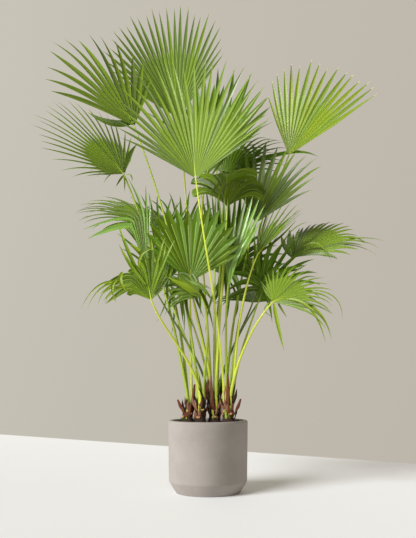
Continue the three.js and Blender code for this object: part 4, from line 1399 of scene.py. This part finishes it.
class PALM_OT_fill_soil(bpy.types.Operator):
    """Fill the tub with potting mix and scatter bark chips over it"""

    bl_idname = "palm.fill_soil"
    bl_label = "Fill the potting mix"

    def execute(self, context):
        settings = context.scene.palm_soil
        body = turned_piece("potting_mix", soil_profile(), 96)
        edge = SOIL_LEVEL - SOIL_EDGE_DROP - 1
        for vertex in body.data.vertices:
            x, y, z = (value / MM for value in vertex.co)
            if z > edge and math.hypot(x, y) < POT_RIM_RADIUS - POT_WALL - 2:
                vertex.co.z += soil_waves(x, y) * MM
        mix = mottled("potting mix", settings.mix, darker(settings.mix, 2.2), 0.85, 60.0, 500.0, 0.002)
        body.data.materials.append(mix)
        settle([body], "soil", "soil")
        chip = mottled("bark chip", settings.chip, darker(settings.chip, 0.5), 0.8, 90.0, 700.0)
        pale = mottled("pale bark chip", settings.pale_chip, settings.chip, 0.8, 90.0, 700.0)
        values = {"Size": settings.chip_size, "Density": settings.density, "Chip": chip, "Pale chip": pale}
        settle([grown("bark_chips", soil_surface(), "Bark chips", values)], "soil")
        return {"FINISHED"}


class PALM_OT_grow_stems(bpy.types.Operator):
    """Build the fibrous stems with their torn sheaths, cut stubs and fibres"""

    bl_idname = "palm.grow_stems"
    bl_label = "Grow the stems"

    def execute(self, context):
        settings = context.scene.palm_stems
        foot_radius = context.scene.palm_stalks.foot_radius / MM
        sides = (darker(settings.bark, 0.55), darker(settings.bark, 1.7))
        bark = mottled("stem bark", *sides, 0.85, 45.0, 600.0, 0.0015)
        dry = (6.0, 40.0, 0.0006, 0.15)
        brown = streaked("dark sheath", settings.bark, darker(settings.bark, 0.35), 0.7, *dry)
        rust = streaked("red-brown sheath", settings.rust, darker(settings.rust, 0.35), 0.7, *dry)
        husk = streaked("pale sheath", settings.husk, darker(settings.rust, 0.8), 0.75, *dry)
        cut = mottled("cut face", settings.cut, settings.husk, 0.7, 150.0, 900.0)
        stump = streaked("stub", settings.stub, settings.bark, 0.6, 5.0, 60.0)
        torn = {"Outside": brown, "Outside of some": rust, "Outside of few": husk}
        sawn = {"Outside": stump, "Far end": cut, "Flatness": 0.8}
        for name in STEMS:
            trunk = trunk_piece(f"trunk_{name}", name, settings.relief)
            trunk.data.materials.append(bark)
            sheaths = grown(f"sheaths_{name}", old_sheaths(name, settings.sheaths), "Torn sheaths", torn)
            wraps = grown(f"wraps_{name}", wrapping_sheaths(name, foot_radius), "Torn sheaths", torn)
            stubs = grown(f"stubs_{name}", cut_stubs(name), "Rods", sawn)
            values = {"Density": settings.fibres, "Seed": ord(name), "Fibre": brown}
            fibres = grown(f"fibres_{name}", trunk.data.copy(), "Fibres", values)
            settle([trunk, sheaths, wraps, stubs, fibres], "stem", f"stem_{name}")
        return {"FINISHED"}


class PALM_OT_grow_stalks(bpy.types.Operator):
    """Sweep the stalks from their seats to the fans"""

    bl_idname = "palm.grow_stalks"
    bl_label = "Grow the stalks"

    def execute(self, context):
        settings = context.scene.palm_stalks
        radii = (settings.foot_radius / MM, settings.tip_radius / MM)
        for stem_name in STEMS:
            turns = seat_turns(stem_name)
            for frond in fronds_of(stem_name):
                green = getattr(settings, frond.stalk)
                skin = streaked(f"{frond.stalk} stalk", green, darker(green, 0.62), 0.36, 3.0, 5.0, 0.0002)
                lines = stalk_lines(frond, turns[frond.name], *radii)
                values = {"Outside": skin, "Far end": skin}
                stalk = grown(f"leafstalk_{frond.name}", lines, "Rods", values)
                settle([stalk], "stalk", f"stalk_{frond.name}")
        return {"FINISHED"}


LEAF_SHADE = 0.6
LEAF_ROUGHNESS = 0.36

# For each look of a fan: the look of some of its leaflets and of its tips, its gloss and its brightest gloss
# Some looks are darker and lighter copies of one leaf green, as painted shade and painted light
LOOKS = {
    "deep": ("shade", "mid", 0.12, 0.22),
    "shade": ("deep", "mid", 0.12, 0.22),
    "mid": ("olive", "lime", 0.26, 0.6),
    "fresh": ("mid", "lime", 0.26, 0.3),
    "lime": ("fresh", "tip", 0.26, 0.6),
    "blue": ("mid", "fresh", 0.26, 0.6),
    "olive": ("shade", "lime", 0.12, 0.22),
}


class PALM_OT_grow_fans(bpy.types.Operator):
    """Open the pleated fans with their leaflets, ribs and tips"""

    bl_idname = "palm.grow_fans"
    bl_label = "Grow the fans"

    def execute(self, context):
        settings = context.scene.palm_fans
        leaf = {"tip": streaked("leaf tip", settings.tip, settings.straw, 0.5)}
        glossy = {}
        for look, (_, _, gloss, sheen) in LOOKS.items():
            own = (getattr(settings, look), LEAF_SHADE, LEAF_ROUGHNESS)
            leaf[look] = leafy(f"{look} leaf", *own, gloss)
            glossy[look] = leafy(f"glossy {look} leaf", *own, sheen)
        rib = streaked("leaf rib", settings.rib, darker(settings.rib, 0.75), 0.38)
        for frond in FRONDS:
            other, tip, _, _ = LOOKS[frond.look]
            # The underside takes half its colour from the fan's look, so it carries over any painted shade
            # and painted light of that look
            pair = zip(getattr(settings, frond.look), settings.underside)
            below = tuple((own + lower) / 2 for own, lower in pair)
            values = {
                "Fold": settings.fold,
                "Thickness": settings.thickness,
                "Tip share": frond.tipped,
                "Upper side": glossy["blue"] if frond.look == "blue" else leaf[frond.look],
                "Upper side of some": glossy[other],
                "Underside": leafy(f"{frond.look} underside", below, 0.8, 0.5, 0.12),
                "Rib": rib,
                "Tip": leaf[tip],
            }
            lines = fan_lines(frond, settings.fineness, settings.raggedness)
            fan = grown(f"leaf_{frond.name}", lines, "Pleated leaflets", values)
            settle([fan], "leaf", f"fan_{frond.name}")
        return {"FINISHED"}


# Stage


def plane(name, corners, material):
    """A flat piece of the stage."""
    mesh = bpy.data.meshes.new(name)
    mesh.from_pydata(corners, [], [tuple(range(len(corners)))])
    mesh.materials.append(material)
    piece = added(name, mesh)
    return piece


def light(name, kind, strength, tint, **settings):
    """A lamp with its strength, its colour and its other settings."""
    lamp = bpy.data.lights.new(name, kind)
    for key, value in {"energy": strength, "color": tint, **settings}.items():
        setattr(lamp, key, value)
    return added(name, lamp)


def area_light(name, place, target, size, power, tint):
    """A soft light that looks at a point."""
    lamp = light(name, "AREA", power, tint, shape="DISK", size=size)
    lamp.location = place
    towards = np.array(target, float) - np.array(place, float)
    level = math.hypot(towards[0], towards[1])
    lamp.rotation_euler = (math.atan2(level, -towards[2]), 0, math.atan2(-towards[0], towards[1]))
    return lamp


def sun_light(name, tilt, heading, strength, width, tint):
    """A distant light of a width in degrees, tilted from straight above towards a heading."""
    lamp = light(name, "SUN", strength, tint, angle=math.radians(width))
    lamp.rotation_euler = (math.radians(tilt), 0, math.radians(heading))
    return lamp


def lit_by(lamp, pieces, state):
    """Lets a lamp light only some pieces, or all but them."""
    group = bpy.data.collections.new(f"{lamp.name} pieces")
    for piece in pieces:
        group.objects.link(piece)
    lamp.light_linking.receiver_collection = group
    for item in group.collection_objects:
        item.light_linking.link_state = state


def floor_material(settings):
    """The pale floor with faint blotches."""
    floor, network, shader = new_material("floor")
    mottle = group_node(network, "Mottle", blotch_size=1.5, grain_size=60.0)
    tone = mixed(network, mottle["Blotch"], settings.floor, darker(settings.floor, 0.985))
    network.feed(shader.inputs["Base Color"], tone)
    shader.inputs["Roughness"].default_value = 0.7
    return floor


def wall_material(settings):
    """The backdrop as a painted glow of its own, weaker to the right and at its foot as painted shade."""
    wall, network, shader = new_material("backdrop")
    place = network.parts(network.add("ShaderNodeTexCoord").outputs["Object"])
    passed = spread_over(network, place[0], WALL_LEFT[0], WALL_RIGHT[0])
    risen = spread_over(network, place[2], 0.0, 2.6)
    # Painted glow, darker to the right and towards the foot as painted shade
    tone = mixed(network, passed, settings.wall, settings.wall_shaded_right)
    rise = mixed(network, risen, (0.98, 0.98, 0.98), (1.02, 1.02, 1.02))
    network.feed(shader.inputs["Emission Color"], mixed(network, 1.0, tone, rise, "MULTIPLY"))
    shader.inputs["Emission Strength"].default_value = 1.0
    shader.inputs["Base Color"].default_value = (0, 0, 0, 1)
    shader.inputs["Specular IOR Level"].default_value = 0
    wall.cycles.emission_sampling = "NONE"
    # From behind the wall is clear
    clear = network.made("ShaderNodeBsdfTransparent")
    behind = network.add("ShaderNodeNewGeometry").outputs["Backfacing"]
    seen = network.made("ShaderNodeMixShader", {0: behind, 1: shader.outputs[0], 2: clear})
    network.feed(wall.node_tree.nodes["Material Output"].inputs["Surface"], seen)
    return wall


def set_lights(settings, ground):
    """Lights from the left at a low height: the plant's further to the front, the floor's broader."""
    tub = bpy.data.objects["tub"]
    key = sun_light("key", 62, -42, settings.key, 24, (0.985, 0.985, 1.0))
    lit_by(key, [ground, tub], "EXCLUDE")
    side = sun_light("tub light", 64.5, -64, settings.tub_key, 24, (0.97, 0.985, 1.0))
    lit_by(side, [tub], "INCLUDE")
    broad = sun_light("floor light", 57, -46, settings.floor_key, 32, (0.96, 0.985, 1.0))
    lit_by(broad, [ground], "INCLUDE")
    fill = area_light("fill", (0.9, -3.4, 2.0), (0, 0, 1.0), 1.4, settings.fill, (1.0, 0.985, 0.97))
    lit_by(fill, [ground, tub], "EXCLUDE")
    place, target = (-2.2, -2.0, 2.4), (-0.05, -0.1, 1.3)
    window = area_light("window", place, target, 0.8, settings.window, (1.0, 1.0, 1.0))
    window.data.spread = math.radians(50)
    lit_by(window, [ground, tub], "EXCLUDE")


class PALM_OT_set_stage(bpy.types.Operator):
    """Set the floor, the backdrop, the lights and the camera"""

    bl_idname = "palm.set_stage"
    bl_label = "Set the stage"

    def execute(self, context):
        settings = context.scene.palm_stage
        corners = [(x * FLOOR_REACH, y * FLOOR_REACH, 0) for x, y in ((-1, -1), (1, -1), (1, 1), (-1, 1))]
        ground = plane("floor", corners, floor_material(settings))
        left = np.array(WALL_LEFT)
        right = np.array(WALL_RIGHT)
        near = right + (right - left) * WALL_OVERRUN
        far = left - (right - left) * WALL_OVERRUN
        corners = [(*far, 0), (*near, 0), (*near, WALL_HEIGHT), (*far, WALL_HEIGHT)]
        plane("backdrop", corners, wall_material(settings))
        set_lights(settings, ground)
        world = bpy.data.worlds.new("surroundings")
        world.use_nodes = True
        background = world.node_tree.nodes["Background"]
        background.inputs["Color"].default_value = (1.0, 0.94, 0.82, 1.0)
        background.inputs["Strength"].default_value = settings.world
        context.scene.world = world
        context.scene.view_settings.view_transform = "Standard"
        camera = added("camera", bpy.data.cameras.new("camera"))
        camera.data.sensor_width = 36
        camera.data.lens = CAMERA_LENS
        camera.location = CAMERA_PLACE
        camera.rotation_euler = (math.radians(CAMERA_TILT), 0, 0)
        context.scene.camera = camera
        return {"FINISHED"}


# Panel and steps


class PALM_PT_build(bpy.types.Panel):
    """The steps that build the potted fan palm, with their settings"""

    bl_idname = "PALM_PT_build"
    bl_label = "Potted fan palm"
    bl_space_type = "VIEW_3D"
    bl_region_type = "UI"
    bl_category = "Palm"

    def draw(self, context):
        for operator, label, _ in STEPS:
            box = self.layout.box()
            box.operator(operator.bl_idname)
            settings = getattr(context.scene, label)
            for prop in settings.bl_rna.properties:
                if prop.identifier not in ("rna_type", "name"):
                    box.prop(settings, prop.identifier)


STEPS = [
    (PALM_OT_shape_pot, "palm_pot", PalmPotSettings),
    (PALM_OT_fill_soil, "palm_soil", PalmSoilSettings),
    (PALM_OT_grow_stems, "palm_stems", PalmStemSettings),
    (PALM_OT_grow_stalks, "palm_stalks", PalmStalkSettings),
    (PALM_OT_grow_fans, "palm_fans", PalmFanSettings),
    (PALM_OT_set_stage, "palm_stage", PalmStageSettings),
]


def register():
    """Adds the settings, the operators and the panel."""
    for operator, label, settings in STEPS:
        bpy.utils.register_class(settings)
        setattr(bpy.types.Scene, label, PointerProperty(type=settings))
        bpy.utils.register_class(operator)
    bpy.utils.register_class(PALM_PT_build)


def unregister():
    """Removes what register added."""
    bpy.utils.unregister_class(PALM_PT_build)
    for operator, label, settings in reversed(STEPS):
        bpy.utils.unregister_class(operator)
        delattr(bpy.types.Scene, label)
        bpy.utils.unregister_class(settings)


def main():
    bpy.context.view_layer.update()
    register()
    for operator, _, _ in STEPS:
        group, name = operator.bl_idname.split(".")
        getattr(getattr(bpy.ops, group), name)()
    bpy.context.view_layer.update()


if __name__ == "__main__":
    main()
